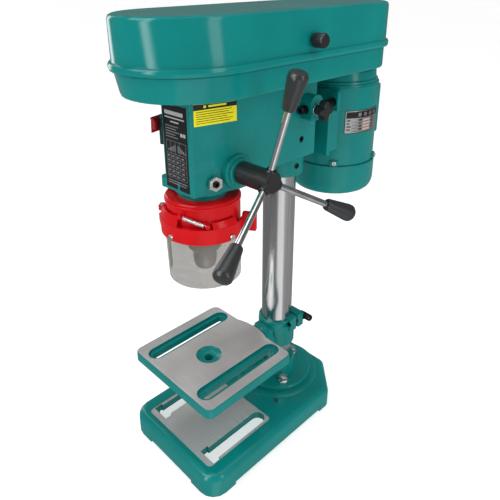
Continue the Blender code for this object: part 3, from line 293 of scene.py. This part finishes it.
SHADERS = {
    "sheet": enamel("enamel_sheet", 0.00003, (0.12, 0.22), 320),
    "cast": enamel("enamel_cast", CAST_GRAIN, (0.18, 0.32), CAST_SCALE),
    "motor": enamel("enamel_motor", 0.00008, (0.16, 0.28), 240),
    "column": brushed("column_steel", (0.70, 0.70, 0.71), 0.20, (160, 160, 5), 0.00001),
    "steel": brushed("turned_steel", (0.78, 0.77, 0.76), 0.30, (300, 300, 900), 0.00002),
    "zinc": brushed("zinc_plate", (0.90, 0.89, 0.86), 0.28, (220, 220, 220), 0.00001, dark=0.9),
    "dark": brushed("blackened_steel", (0.045, 0.045, 0.048), 0.38, (500, 500, 500), 0.00004),
    "chrome": brushed("chrome_rod", (0.86, 0.86, 0.88), 0.12, (90, 90, 90), 0.00001),
    "alloy": brushed("cast_alloy", (0.75, 0.75, 0.76), 0.35, (200, 200, 900), 0.00004),
    "iron": brushed("rotor_iron", (0.25, 0.24, 0.23), 0.5, (60, 60, 2600), 0.00005),
    "black": plastic("black_plastic", (0.016, 0.016, 0.018), 0.36),
    "grip": plastic("grip_plastic", (0.027, 0.030, 0.031), 0.30, 0.00006, 700),
    "red": plastic("guard_red", (0.62, 0.002, 0.006), 0.25, 0.00002, 400, 0.10, 0.18),
    "flap": plastic("flap_red", (0.30, 0.006, 0.010), 0.30, 0.00002, 400, 0.3),
    "green": plastic("button_green", (0.02, 0.35, 0.06), 0.35),
    "rubber": plastic("belt_rubber", (0.02, 0.02, 0.02), 0.75, 0.00010, 1500),
    "clear": clear("clear_guard"),
    "ink_yellow": ink("ink_yellow", (0.90, 0.80, 0.0)),
    "ink_black": ink("ink_black", (0.012, 0.012, 0.014)),
    "ink_grey": ink("ink_grey", (0.17, 0.175, 0.18)),
    "ink_white": ink("ink_white", (0.42, 0.42, 0.42)),
    "ink_rose": ink("ink_rose", (0.50, 0.36, 0.32)),
    "foil": brushed("nameplate_foil", (0.62, 0.62, 0.62), 0.30, (40, 40, 1800), 0.00001),
}
MAT = {key: shader.material for key, shader in SHADERS.items()}


def give(obj, material):
    obj.data.materials.clear()
    obj.data.materials.append(material)


def smooth(obj, degrees):
    obj.data.shade_smooth()
    obj.data.set_sharp_from_angle(angle=math.radians(degrees))


# ---- building pieces ---------------------------------------------------------------------
AXIS_TURN = {"Z": Matrix.Identity(4), "X": Matrix.Rotation(math.pi / 2, 4, "Y")}


def new_piece(name, mesh, body, material, degrees=SHARP_ANGLE):
    """A piece of the visual model that moves with a body."""
    data = bpy.data.meshes.new(name)
    mesh.to_mesh(data)
    mesh.free()
    obj = bpy.data.objects.new(name, data)
    bpy.context.scene.collection.objects.link(obj)
    smooth(obj, degrees)
    give(obj, material)
    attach(obj, body)
    return obj


def strung(mesh, rings):
    """Joins rings of vertices into a tube with closed ends."""
    sides = len(rings[0])
    for near, far in zip(rings, rings[1:]):
        for k in range(sides):
            n = (k + 1) % sides
            mesh.faces.new((near[k], near[n], far[n], far[k]))
    mesh.faces.new(rings[0])
    mesh.faces.new(rings[-1])


def outward(mesh):
    """Turns every face outwards."""
    bmesh.ops.recalc_face_normals(mesh, faces=mesh.faces[:])
    return mesh


def cuboid(x0, y0, z0, x1, y1, z1):
    """A box between two corners, in metres."""
    mesh = bmesh.new()
    corners = (x0, y0), (x1, y0), (x1, y1), (x0, y1)
    face = mesh.faces.new([mesh.verts.new((x, y, z0)) for x, y in corners])
    top = bmesh.ops.extrude_face_region(mesh, geom=[face])
    lifted = [v for v in top["geom"] if isinstance(v, bmesh.types.BMVert)]
    bmesh.ops.translate(mesh, verts=lifted, vec=(0, 0, z1 - z0))
    return outward(mesh)


def lathe(profile, sides, axis="Z"):
    """A solid turned from (radius, height) points, which start and end on the axis. Points
    that end on the first one again make a ring, and joined() then closes its seam."""
    mesh = bmesh.new()
    rings = []
    for radius, height in profile:
        if radius <= 0:
            rings.append([mesh.verts.new((0, 0, height))] * sides)
            continue
        ring = []
        for k in range(sides):
            angle = math.tau * k / sides
            x, y = radius * math.cos(angle), radius * math.sin(angle)
            ring.append(mesh.verts.new((x, y, height)))
        rings.append(ring)
    for low, high in zip(rings, rings[1:]):
        for k in range(sides):
            n = (k + 1) % sides
            mesh.faces.new(list(dict.fromkeys([low[k], low[n], high[n], high[k]])))
    return placed(outward(mesh), AXIS_TURN[axis])


def joined(mesh):
    """Merges points that lie on each other."""
    bmesh.ops.remove_doubles(mesh, verts=mesh.verts[:], dist=SAME_POINT)
    return mesh


def scaled(profile):
    return [(radius * MM, height * MM) for radius, height in profile]


def bevelled(mesh, width, segments):
    """Rounds the edges sharper than 40 degrees."""
    edges = [e for e in mesh.edges if e.calc_face_angle(0.0) > math.radians(40)]
    bmesh.ops.bevel(mesh, geom=edges, offset=width, segments=segments, profile=0.5, affect="EDGES")
    return mesh


def placed(mesh, matrix):
    bmesh.ops.transform(mesh, matrix=matrix, verts=mesh.verts[:])
    return mesh


# ---- the CAD nodes that keep their own mesh ----------------------------------------------
def machined(name, height, margin, marks):
    """A casting's material, bare within a margin in millimetres of a height in metres."""
    return faced(name, height - margin * MM, height + margin * MM, (30, marks, 30)).material


def dress_nodes():
    """Gives every node a material, and smooth shading that stays crisp at its edges."""
    MAT["table"] = machined("table_casting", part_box("table")[1].z, 0.6, 1400)
    MAT["base"] = machined("base_casting", BASE_PAD * MM, 0.4, 1100)
    wears = {
        "table": "table",
        "base": "base",
        "cast": "column_flange table_bracket head_casting return_spring_cap",
        "sheet": "belt_pan belt_lid",
        "motor": "motor_body motor_top_bell motor_bottom_bell capacitor_box motor_mount_plate",
        "column": "column",
        "zinc": "flange_bolt_1 flange_bolt_2 flange_bolt_3 quill_guide_nut "
        "guard_screw_1 guard_screw_2",
        "steel": "tilt_bolt quill quill_bearing spindle feed_pinion_shaft guard_hinge_pin "
        "guard_clamp_screw lid_hinge_1 lid_hinge_2 guard_spring chuck_body chuck_sleeve",
        "dark": "head_set_screw quill_guide_screw chuck_jaw_1 chuck_jaw_2 chuck_jaw_3 "
        "slide_bar_left slide_bar_right table_clamp_screw",
        "chrome": "feed_rod_1 feed_rod_2 feed_rod_3",
        "black": "feed_hub lid_knob star_knob switch_box",
        "grip": "feed_grip_1 feed_grip_2 feed_grip_3",
        "red": "guard_collar guard_band stop_button",
        "flap": "switch_flap",
        "green": "start_button",
        "clear": "guard_shield",
        "alloy": "spindle_pulley motor_pulley",
        "rubber": "drive_belt",
        "iron": "motor_rotor",
    }
    for material, nodes in wears.items():
        for node in nodes.split():
            obj = frame["nodes"][node]
            obj.data.shade_smooth()
            weld = obj.modifiers.new("weld", "WELD")
            weld.merge_threshold = 1e-6
            split = obj.modifiers.new("sharp_edges", "EDGE_SPLIT")
            split.split_angle = math.radians(SHARP_ANGLE)
            split.use_edge_sharp = False
            obj.modifiers.new("even_shading", "WEIGHTED_NORMAL")
            give(obj, MAT[material])


# ---- rounder copies of faceted nodes -------------------------------------------------------
def turned_node(node, material, profile, centre, axis="Z"):
    """A truly round piece in place of a faceted node, from its (radius, height) half section."""
    closed = profile if profile[0][0] <= 0 else profile + [profile[0]]
    mesh = placed(joined(lathe(scaled(closed), 96, axis)), Matrix.Translation(centre))
    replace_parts(new_piece(f"{node}_turned", mesh, BODY_OF[node], MAT[material]), node)


def round_nodes():
    """Sections as (radius, height above the bench), and the cap's as (radius, x from the
    column's axis), since it lies on its side."""
    column, spindle, motor = (Vector((c.x, c.y, 0)) for c in (COLUMN, SPINDLE, MOTOR))
    tube = [(20, 37), (22.6, 37), (23, 37.4), (23, 469), (22, 470), (20, 470)]
    turned_node("column", "column", tube, column)
    rim = MOTOR_RADIUS - 0.3
    body = [(56, 375.3), (rim, 375.3), (MOTOR_RADIUS, 375.7), (MOTOR_RADIUS, 487.3)]
    body += [(rim, 487.7), (56, 487.7)]
    turned_node("motor_body", "motor", body, motor)
    top = [
        (8, 485),
        (55.7, 485),
        (55.7, 488),
        (MOTOR_RADIUS, 488),
        (MOTOR_RADIUS, 489.5),
        (59, 490.4),
        (57.5, 491),
        (57.5, 493.5),
        (57, 494.4),
        (55.2, 495.2),
        (54.5, 505.5),
        (54, 507),
        (52.5, 508),
        (12.3, 508),
        (12, 510),
        (8, 510),
    ]
    turned_node("motor_top_bell", "motor", top, motor)
    bottom = [(0, 332), (48, 332), (54, 337), (56, 342), (56, 375), (61.6, 375), (62, 374.5)]
    bottom += [(62, 346), (61.7, 342), (60.8, 338.5), (59.6, 335.6), (58, 333), (55.8, 331)]
    bottom += [(53, 329.5), (49.5, 328.5), (46, 328), (0, 328)]
    turned_node("motor_bottom_bell", "motor", bottom, motor)
    chuck = [
        (7.55, 335),
        (8.25, 351),
        (8.25, 355),
        (15, 355),
        (17, 353.5),
        (17, 350.8),
        (13, 350.8),
        (13, 312),
        (14.4, 311.8),
        (14.8, 311.3),
        (14.8, 299),
        (14.4, 294.5),
        (13.6, 291),
        (12.2, 288.3),
        (10.4, 286.5),
        (6.6, 286.5),
        (10.8, 318.5),
        (4, 319.5),
        (4, 335),
    ]
    turned_node("chuck_body", "steel", chuck, spindle)
    cap = [(0, -62), (20.4, -62), (22.3, -61.3), (23, -60), (23, -45.3), (6.6, -45.3)]
    cap += [(6.6, -55), (0, -55)]
    feed = Vector((COLUMN.x, FEED.y, FEED.z))
    turned_node("return_spring_cap", "cast", cap, feed, "X")


# ---- labels ------------------------------------------------------------------------------
def printed(name, body, surface, material, marks, height=0.3):
    """Thin raised patches, each given by its corners (u0, v0, u1, v1) in millimetres, laid on
    a surface by surface(u, v, outwards). A patch on another stands a little higher."""
    mesh = bmesh.new()
    longest, sunk = 4, -0.1
    for u0, v0, u1, v1 in marks:
        steps = max(1, math.ceil((u1 - u0) / longest))
        section = ((v0, sunk), (v1, sunk), (v1, height), (v0, height))
        rings = []
        for k in range(steps + 1):
            u = u0 + (u1 - u0) * k / steps
            rings.append([mesh.verts.new(surface(u, v, out)) for v, out in section])
        strung(mesh, rings)
    new_piece(name, outward(mesh), body, MAT[material])


def rows(u0, v0, lengths, pitch, thick):
    """Lines of print shown as plain bars, from the top line down."""
    lines = []
    for k, length in enumerate(lengths):
        v = v0 - k * pitch
        lines.append((u0, v, u0 + length, v + thick))
    return lines


def flat(matrix):
    """u runs along the matrix's +Y, v up and outwards along its +X."""
    return lambda u, v, out: matrix @ Vector((out * MM, u * MM, v * MM))


def label_notice():
    """The yellow notice on the head's sloping right cheek."""
    slope = math.degrees(math.atan2(HEAD_SIDE - HEAD_NOSE, TAPER_END - HEAD_FRONT))
    bottom, inset = 481, 4
    corner = facing(HEAD_NOSE, HEAD_FRONT, bottom, -slope)
    side = flat(corner @ Matrix.Translation((0, inset * MM, 0)))
    printed("notice_ground", "frame", side, "ink_yellow", [(0, 0, 53, 24)])
    printed("notice_header", "frame", side, "ink_black", [(0, 17.6, 53, 24)], 0.36)
    title = [(12, 19.4, 15, 22.2), (18, 19.8, 40, 21.8)]
    printed("notice_title", "frame", side, "ink_yellow", title, 0.42)
    lines = rows(3, 15.0, (44, 40, 46, 38, 45, 42), 2.5, 0.7)
    printed("notice_lines", "frame", side, "ink_black", lines, 0.34)


def label_chart():
    """The black speed chart on the head's front: a title, print, a grid and two stairs."""
    bottom = 401
    front = flat(facing(0, HEAD_FRONT, bottom, -90))
    printed("chart_ground", "frame", front, "ink_black", [(-23, 0, 20, 100)])
    title = [(-19, 88.5, 14, 93), (-19, 84.5, 16, 86), (-9, 80, 6, 81.6)]
    title += [(8, 66, 12, 70), (13, 66, 17, 70)]
    printed("chart_title", "frame", front, "ink_white", title, 0.36)
    marks = rows(-19, 75, (24, 20, 25, 18, 22), 3.2, 1.1)
    marks += rows(-19, 9, (36, 33), 3, 1.2)
    marks += [(-19, y, 17, y + 0.5) for y in (13, 19, 25, 31, 37, 43, 58)]
    marks += [(x, 13, x + 0.5, 58) for x in (-19, -11, -3, 5, 16.5)]
    for x in (-17.5, -9.5, -1.5, 8):
        marks += [(x, y, x + 4.5, y + 2) for y in (15, 21, 27, 33, 39)]
    pitch, rise, floor = 3.1, 1.6, 46
    marks += [(-16 + pitch * k, floor, -14 + pitch * k, 48 + rise * k) for k in range(5)]
    marks += [(2 + pitch * k, floor, 4 + pitch * k, 54.4 - rise * k) for k in range(5)]
    printed("chart_marks", "frame", front, "ink_grey", marks, 0.34)


def label_motor_plate():
    """The rating plate, wrapped round the motor: a header and a table of entries."""
    start, bottom = math.radians(-41), 423

    def on_motor(u, v, out):
        angle = start + u / MOTOR_RADIUS
        reach = (MOTOR_RADIUS + out) * MM
        x, y = reach * math.cos(angle), reach * math.sin(angle)
        return Vector((MOTOR.x + x, MOTOR.y + y, (bottom + v) * MM))

    printed("plate_rim", "motor", on_motor, "ink_black", [(0, 0, 65, 33)])
    printed("plate_foil", "motor", on_motor, "foil", [(0.8, 0.8, 64.2, 32.2)], 0.36)
    printed("plate_header", "motor", on_motor, "ink_black", [(2, 22, 63, 31)], 0.42)
    title = [(20 + 10 * k, 24, 25 + 10 * k, 29) for k in range(4)]
    printed("plate_title", "motor", on_motor, "foil", title, 0.48)
    pitch = 4.4
    entries = rows(3, 18, (5, 4, 6, 5), pitch, 1.8)
    entries += rows(21, 18, (6, 4, 5, 6), pitch, 1.8)
    entries += rows(46, 18, (5, 6, 4, 5), pitch, 1.8)
    entries += rows(10, 16.2, (9,) * 4, pitch, 0.5)
    printed("plate_entries", "motor", on_motor, "ink_black", entries, 0.42)
    fields = rows(28, 16.6, (15,) * 4, pitch, 3.0)
    printed("plate_fields", "motor", on_motor, "ink_rose", fields, 0.40)


# ---- small fittings ----------------------------------------------------------------------
def circled(centre, first, second, radius, angle):
    """A point on a circle about a centre, in the plane of two directions."""
    return centre + radius * (math.cos(angle) * first + math.sin(angle) * second)


def swept(points, radius, sides):
    """A round wire along a line of points."""
    mesh = bmesh.new()
    rings = []
    across = None
    for i, point in enumerate(points):
        ahead = (points[min(i + 1, len(points) - 1)] - points[max(i - 1, 0)]).normalized()
        across = across or ahead.orthogonal()
        across = (across - ahead * across.dot(ahead)).normalized()
        other = ahead.cross(across)
        angles = [math.tau * k / sides for k in range(sides)]
        rings.append([mesh.verts.new(circled(point, across, other, radius, a)) for a in angles])
    strung(mesh, rings)
    return outward(mesh)


def build_spring():
    """The guard's tension spring: close coils between two hooks, each on a post."""
    left = around(SPINDLE, SPRING_RADIUS, 376.2, 290).translation
    right = around(SPINDLE, SPRING_RADIUS, 366.2, 324).translation
    axis = (right - left).normalized()
    middle, half = (left + right) / 2, (right - left).length / 2
    across = axis.orthogonal().normalized()
    other = axis.cross(across)
    turns, steps, coil_radius, wire_radius = 20, 14, 2.3 * MM, 0.62 * MM
    coil_half, hook_end, hook_start = half - 3.2 * MM, half - 0.4 * MM, half - 1.6 * MM
    points = [middle - axis * hook_end, middle - axis * hook_start]
    for i in range(turns * steps + 1):
        along = coil_half * (2 * i / (turns * steps) - 1)
        angle = math.tau * i / steps
        points.append(circled(middle + axis * along, across, other, coil_radius, angle))
    points += [middle + axis * hook_start, middle + axis * hook_end]
    wire = swept(points, wire_radius, 6)
    spring = new_piece("guard_spring_coil", wire, "frame", MAT["zinc"], 80)
    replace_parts(spring, "guard_spring")
    post_foot = 45.5
    post = [(0, -3), (3.6, -3), (3.2, 0), (2.4, 2.2), (2.2, 5.6)]
    post += [(2.9, 6.2), (2.9, 7.2), (2.3, 7.8), (0, 7.8)]
    for name, degrees, z in (("left", 288.5, 376.6), ("right", 325.5, 365.9)):
        hook = placed(lathe(scaled(post), 20, "X"), around(SPINDLE, post_foot, z, degrees))
        new_piece(f"spring_post_{name}", hook, "frame", MAT["red"])


def toothed(profile, teeth):
    """A lathe's work with teeth cut round it. They are cut at the points of the profile that
    have a third value, the depth, on two of the four sides that each tooth takes."""
    sides = teeth * 4
    mesh = lathe([(point[0] * MM, point[1] * MM) for point in profile], sides)
    cuts = [point for point in profile if len(point) == 3]
    near = 1e-6
    for vertex in mesh.verts:
        radius = math.hypot(vertex.co.x, vertex.co.y)
        step = round(math.atan2(vertex.co.y, vertex.co.x) / math.tau * sides) % 4
        for reach, height, depth in cuts:
            level = abs(vertex.co.z - height * MM) < near
            if level and abs(radius - reach * MM) < near and step in (0, 1):
                shrink = 1 - depth / reach
                vertex.co.x *= shrink
                vertex.co.y *= shrink
                break
    return mesh


def swung(section, start, end, steps=24):
    """A section of (radius, height) points swung about the spindle from one angle to another."""
    mesh = bmesh.new()
    rings = []
    for k in range(steps + 1):
        angle = start + (end - start) * k / steps
        points = [around(SPINDLE, radius, z, angle).translation for radius, z in section]
        rings.append([mesh.verts.new(point) for point in points])
    strung(mesh, rings)
    return outward(mesh)


def build_guard_ribs():
    """The collar's two raised rings, and the sloping shoulders above the swinging band."""
    for name, low, high, start, end in (
        ("upper", 382.6, 386.2, 112, 448),
        ("lower", 353.2, 355.2, 226, 372),
    ):
        root, chamfer = 45, 0.4
        rib = [(root, low), (RIB_RADIUS - chamfer, low), (RIB_RADIUS, low + chamfer)]
        rib += [(RIB_RADIUS, high - chamfer), (RIB_RADIUS - chamfer, high), (root, high)]
        rib = swung(rib, start, end, 90)
        new_piece(f"collar_rib_{name}", rib, "frame", MAT["red"])
    for name, start, end, top in (("left", 228, 283, 374.5), ("right", 332, 370, 369.0)):
        slope = [(47.2, top - 1.4), (47.4, top), (48.6, top + 0.2)]
        slope += [(SHOULDER_RADIUS, 362.6), (SHOULDER_RADIUS, 361.2), (50.4, 361.2)]
        shoulder = swung(slope, start, end)
        new_piece(f"band_shoulder_{name}", shoulder, "guard", MAT["red"])


def build_chuck():
    """The chuck's sleeve with teeth for its key and a ribbed grip, and its three key holes."""
    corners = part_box("chuck_sleeve")
    low, high = (corner.z / MM for corner in corners)
    outer = (corners[1].x - corners[0].x) / 2 / MM
    bore, grip, grip_low = outer - 7.7, outer - 1.2, low + 12
    profile = [
        (bore, low),
        (outer - 5.0, low),
        (outer - 2.6, low + 0.4, 1.6),
        (outer - 0.3, low + 3.2, 1.8),
        (outer, low + 3.9),
        (outer, low + 9.5),
        (grip, low + 11.2),
    ]
    ridges = 7
    pitch = (high - 3.0 - grip_low) / ridges
    for k in range(ridges):
        z = grip_low + k * pitch
        profile += [(grip, z), (outer - 0.7, z + pitch * 0.4), (grip, z + pitch * 0.8)]
    profile += [(grip, high - 2.6), (outer - 2.4, high), (bore, high)]
    sleeve = joined(toothed(profile + [profile[0][:2]], 30))
    placed(sleeve, Matrix.Translation((SPINDLE.x, SPINDLE.y, 0)))
    sleeve = new_piece("chuck_sleeve_toothed", sleeve, "chuck_ring", MAT["steel"])
    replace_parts(sleeve, "chuck_sleeve")
    body_radius, hole_height = 14.3, 304
    bushing = [(0, -3), (3.4, -3), (3.4, 0.3), (2.9, 0.7), (2.3, 0.5), (2.3, -1.6), (0, -1.6)]
    for number in range(3):
        place = around(SPINDLE, body_radius, hole_height, 120 * number + 30)
        hole = placed(lathe(scaled(bushing), 20, "X"), place)
        new_piece(f"chuck_key_hole_{number + 1}", hole, "spindle_unit", MAT["dark"])


def screw_head(radius, height, socket):
    """A button-headed screw with a recess, drawn along +X."""
    head = [
        (0, -1.5),
        (radius * 0.5, -1.5),
        (radius, 0),
        (radius, height * 0.4),
        (radius * 0.8, height * 0.85),
        (socket + 0.2, height),
        (socket, height * 0.9),
        (socket * 0.85, height * 0.25),
        (0, height * 0.15),
    ]
    return lathe(scaled(head), 24, "X")


def washer(inner, outer, thick, axis="Z"):
    """A flat ring with its outer edges broken."""
    rim = outer - 0.2
    ring = [(inner, 0), (rim, 0), (outer, 0.2), (outer, thick - 0.2), (rim, thick)]
    ring += [(inner, thick), (inner, 0)]
    return joined(lathe(scaled(ring), 32, axis))


def build_washers():
    """Under the three flange bolts and the star knob."""
    for number in (1, 2, 3):
        bolt = middle_of(f"flange_bolt_{number}")
        place = Matrix.Translation((bolt.x, bolt.y, WASHER_SEAT * MM))
        ring = placed(washer(4.2, 8.2, 1.3), place)
        new_piece(f"flange_washer_{number}", ring, "frame", MAT["zinc"])
    knob = middle_of("star_knob")
    place = Matrix.Translation((at(58.2, 0, 0).x, knob.y, knob.z))
    ring = placed(washer(3.4, 7.6, 1.5, "X"), place)
    new_piece("star_knob_washer", ring, "tension_lock", MAT["zinc"])


def build_screws():
    """The head's collar screw, and the motor's: four at the seam, four in the capacitor box."""
    collar_screw = placed(screw_head(3.9, 1.2, 2.2), facing(32.7, -3, 394.5, -5))
    new_piece("collar_set_screw", collar_screw, "frame", MAT["dark"])
    screw_seat = 62.6
    for number, degrees in enumerate((-52, 24, 140, 230), 1):
        place = around(MOTOR, screw_seat, SEAM_HEIGHT, degrees)
        screw = placed(screw_head(3.4, 1.8, 1.6), place)
        new_piece(f"motor_seam_screw_{number}", screw, "motor", MAT["zinc"])
        lug = cuboid(-4 * MM, -6 * MM, -4.4 * MM, 3.2 * MM, 6 * MM, 4.4 * MM)
        lug = bevelled(lug, 1.4 * MM, 3)
        lug = placed(lug, around(MOTOR, MOTOR_RADIUS - 0.4, SEAM_HEIGHT, degrees))
        new_piece(f"motor_seam_lug_{number}", lug, "motor", MAT["motor"])
    # The capacitor box's screws end 0.1 mm under its face, which hides them. Standing on the
    # face, they passed the CAD model's box.
    lid_reach, lid_side = 70.2, 80
    for number, (across, z) in enumerate(((-17, 408), (17, 408), (-17, 474), (17, 474)), 1):
        place = around(MOTOR, lid_reach, z, lid_side) @ Matrix.Translation((0, across * MM, 0))
        screw = placed(screw_head(2.6, 1.2, 1.2), place)
        new_piece(f"capacitor_screw_{number}", screw, "motor", MAT["zinc"])


def build_boss_fillet():
    """The soft step where the flange meets the base."""
    fillet = [(60, 33.0), (68.5, 33.45), (66, 33.8), (64.6, 34.5), (63.6, 35.35)]
    fillet += [(60, 35.4), (60, 33.0)]
    fillet = joined(lathe(scaled(fillet), 90))
    placed(fillet, Matrix.Translation((COLUMN.x, COLUMN.y, 0)))
    new_piece("boss_fillet", fillet, "frame", MAT["cast"])


def build_spring_cap_screw():
    """The screw in the middle of the return spring's cap, on the machine's left."""
    cap = placed(screw_head(4.5, 2.2, 2.0), facing(-62, 0, 0, 180))
    placed(cap, Matrix.Translation((0, FEED.y - COLUMN.y, FEED.z)))
    new_piece("spring_cap_screw", cap, "frame", MAT["zinc"])


# ---- camera, floor and light -------------------------------------------------------------
def build_camera():
    """Stands in front of the machine, to the operator's right and a little above the head.
    The place, turn, lens and shift are the ones that fit the photograph best."""
    data = bpy.data.cameras.new("camera")
    data.sensor_width = 36
    data.lens = 37.53
    data.shift_x, data.shift_y = 0.028, -0.12
    camera = bpy.data.objects.new("camera", data)
    bpy.context.scene.collection.objects.link(camera)
    yaw, pitch, roll = (math.radians(a) for a in (-46.62, 22.62, -0.72))
    flat_part = math.cos(pitch)
    ahead = Vector((math.sin(yaw) * flat_part, math.cos(yaw) * flat_part, -math.sin(pitch)))
    level = Vector((math.cos(yaw), -math.sin(yaw), 0))
    above = level.cross(ahead)
    right = math.cos(roll) * level + math.sin(roll) * above
    up = -math.sin(roll) * level + math.cos(roll) * above
    turn = Matrix((right, up, -ahead)).transposed()
    eye = (0.42972, -0.48964, 0.63384)
    camera.matrix_world = Matrix.Translation(eye) @ turn.to_4x4()
    bpy.context.scene.camera = camera


def build_floor():
    """White paper, half a millimetre under the machine, that glows enough to hide its edge."""
    mesh = bmesh.new()
    bmesh.ops.create_grid(mesh, x_segments=2, y_segments=2, size=60)
    data = bpy.data.meshes.new("floor")
    mesh.to_mesh(data)
    mesh.free()
    floor = bpy.data.objects.new("floor", data)
    floor.location.z = -0.5 * MM
    bpy.context.scene.collection.objects.link(floor)
    shader = Shader("floor_paper", (0.60, 0.60, 0.60), 0.7)
    shader.roughness_from(shader.noise(3), 0.6, 0.8)
    shader.set("Emission Color", (1, 1, 1, 1)).set("Emission Strength", PAPER_GLOW)
    floor.visible_glossy = False
    give(floor, shader.material)


def area_light(name, place, target, size, watts):
    """A rectangle of light that faces a target."""
    data = bpy.data.lights.new(name, "AREA")
    data.shape = "RECTANGLE"
    data.size, data.size_y = size
    data.energy = watts
    lamp = bpy.data.objects.new(name, data)
    lamp.location = place
    lamp.rotation_euler = (Vector(target) - Vector(place)).to_track_quat("-Z", "Y").to_euler()
    bpy.context.scene.collection.objects.link(lamp)


PAPER_GLOW = 0.62  # how brightly the white paper lights the machine
SPLIT = -0.26, -0.20  # heights on the unit sphere between which the reflections change
# Azimuth in degrees and brightness of what shiny surfaces mirror: a tall softbox and a dim
# room where they look down, and narrow strips where they look level or up.
SOFTBOXES = (
    (-180, 0.20),
    (-58, 0.22),
    (-50, 0.95),
    (-11, 1.05),
    (-2, 0.42),
    (45, 0.34),
    (130, 0.26),
    (180, 0.20),
)
STRIPS = (
    (-180, 2.5),
    (-172, 0.14),
    (-97, 0.14),
    (-92, 8.0),
    (-85, 8.0),
    (-77, 0.14),
    (60, 0.12),
    (164, 0.14),
    (172, 2.5),
)


def seen_round(tree, azimuth, table):
    """The brightness that a table gives for an azimuth, as a colour."""
    ramp = tree.nodes.new("ShaderNodeValToRGB")
    stops = ramp.color_ramp.elements
    while len(stops) < len(table):
        stops.new(0.5)
    for stop, (degrees, value) in zip(stops, table):
        stop.position = degrees / 360 + 0.5
        stop.color = (value, value, value, 1)
    tree.links.new(azimuth, ramp.inputs["Fac"])
    return ramp.outputs["Color"]


def build_world():
    """White paper all round. Reflections see a dimmer room instead: SOFTBOXES below the
    heights of SPLIT and STRIPS above them."""
    world = bpy.data.worlds.new("studio")
    world.use_nodes = True
    tree = world.node_tree
    new, link = tree.nodes.new, tree.links.new
    paper = tree.nodes["Background"]
    paper.inputs["Color"].default_value = (1, 1, 1, 1)
    rays = new("ShaderNodeLightPath")
    seen = new("ShaderNodeMapRange")
    seen.inputs["To Min"].default_value = PAPER_GLOW
    link(rays.outputs["Is Camera Ray"], seen.inputs["Value"])
    link(seen.outputs["Result"], paper.inputs["Strength"])

    ways = new("ShaderNodeSeparateXYZ")
    link(new("ShaderNodeTexCoord").outputs["Generated"], ways.inputs[0])
    azimuth = new("ShaderNodeMath")
    azimuth.operation = "ARCTAN2"
    link(ways.outputs["Y"], azimuth.inputs[0])
    link(ways.outputs["X"], azimuth.inputs[1])
    turn = new("ShaderNodeMapRange")
    turn.inputs["From Min"].default_value = -math.pi
    turn.inputs["From Max"].default_value = math.pi
    link(azimuth.outputs[0], turn.inputs["Value"])
    height = new("ShaderNodeMapRange")
    height.inputs["From Min"].default_value, height.inputs["From Max"].default_value = SPLIT
    link(ways.outputs["Z"], height.inputs["Value"])
    layers = new("ShaderNodeMix")
    layers.data_type = "RGBA"
    link(height.outputs["Result"], layers.inputs["Factor"])
    link(seen_round(tree, turn.outputs["Result"], SOFTBOXES), layers.inputs["A"])
    link(seen_round(tree, turn.outputs["Result"], STRIPS), layers.inputs["B"])
    room = new("ShaderNodeBackground")
    link(layers.outputs["Result"], room.inputs["Color"])
    mix = new("ShaderNodeMixShader")
    link(rays.outputs["Is Glossy Ray"], mix.inputs[0])
    link(paper.outputs[0], mix.inputs[1])
    link(room.outputs[0], mix.inputs[2])
    link(mix.outputs[0], tree.nodes["World Output"].inputs["Surface"])
    bpy.context.scene.world = world


def build_light():
    build_world()
    target = (0, 0, 0.32)
    area_light("key", (-0.5, -1.5, 1.5), target, (0.8, 1.2), 14)
    area_light("side", (1.6, 0.1, 0.9), target, (0.5, 1.4), 7)
    area_light("top", (0.0, 0.2, 2.0), target, (1.4, 1.4), 10)
    bpy.context.scene.view_settings.view_transform = "Standard"


build_camera()
build_floor()
build_light()
dress_nodes()
round_nodes()
build_chuck()
build_spring()
build_guard_ribs()
build_washers()
build_screws()
build_boss_fillet()
build_spring_cap_screw()
label_notice()
label_chart()
label_motor_plate()
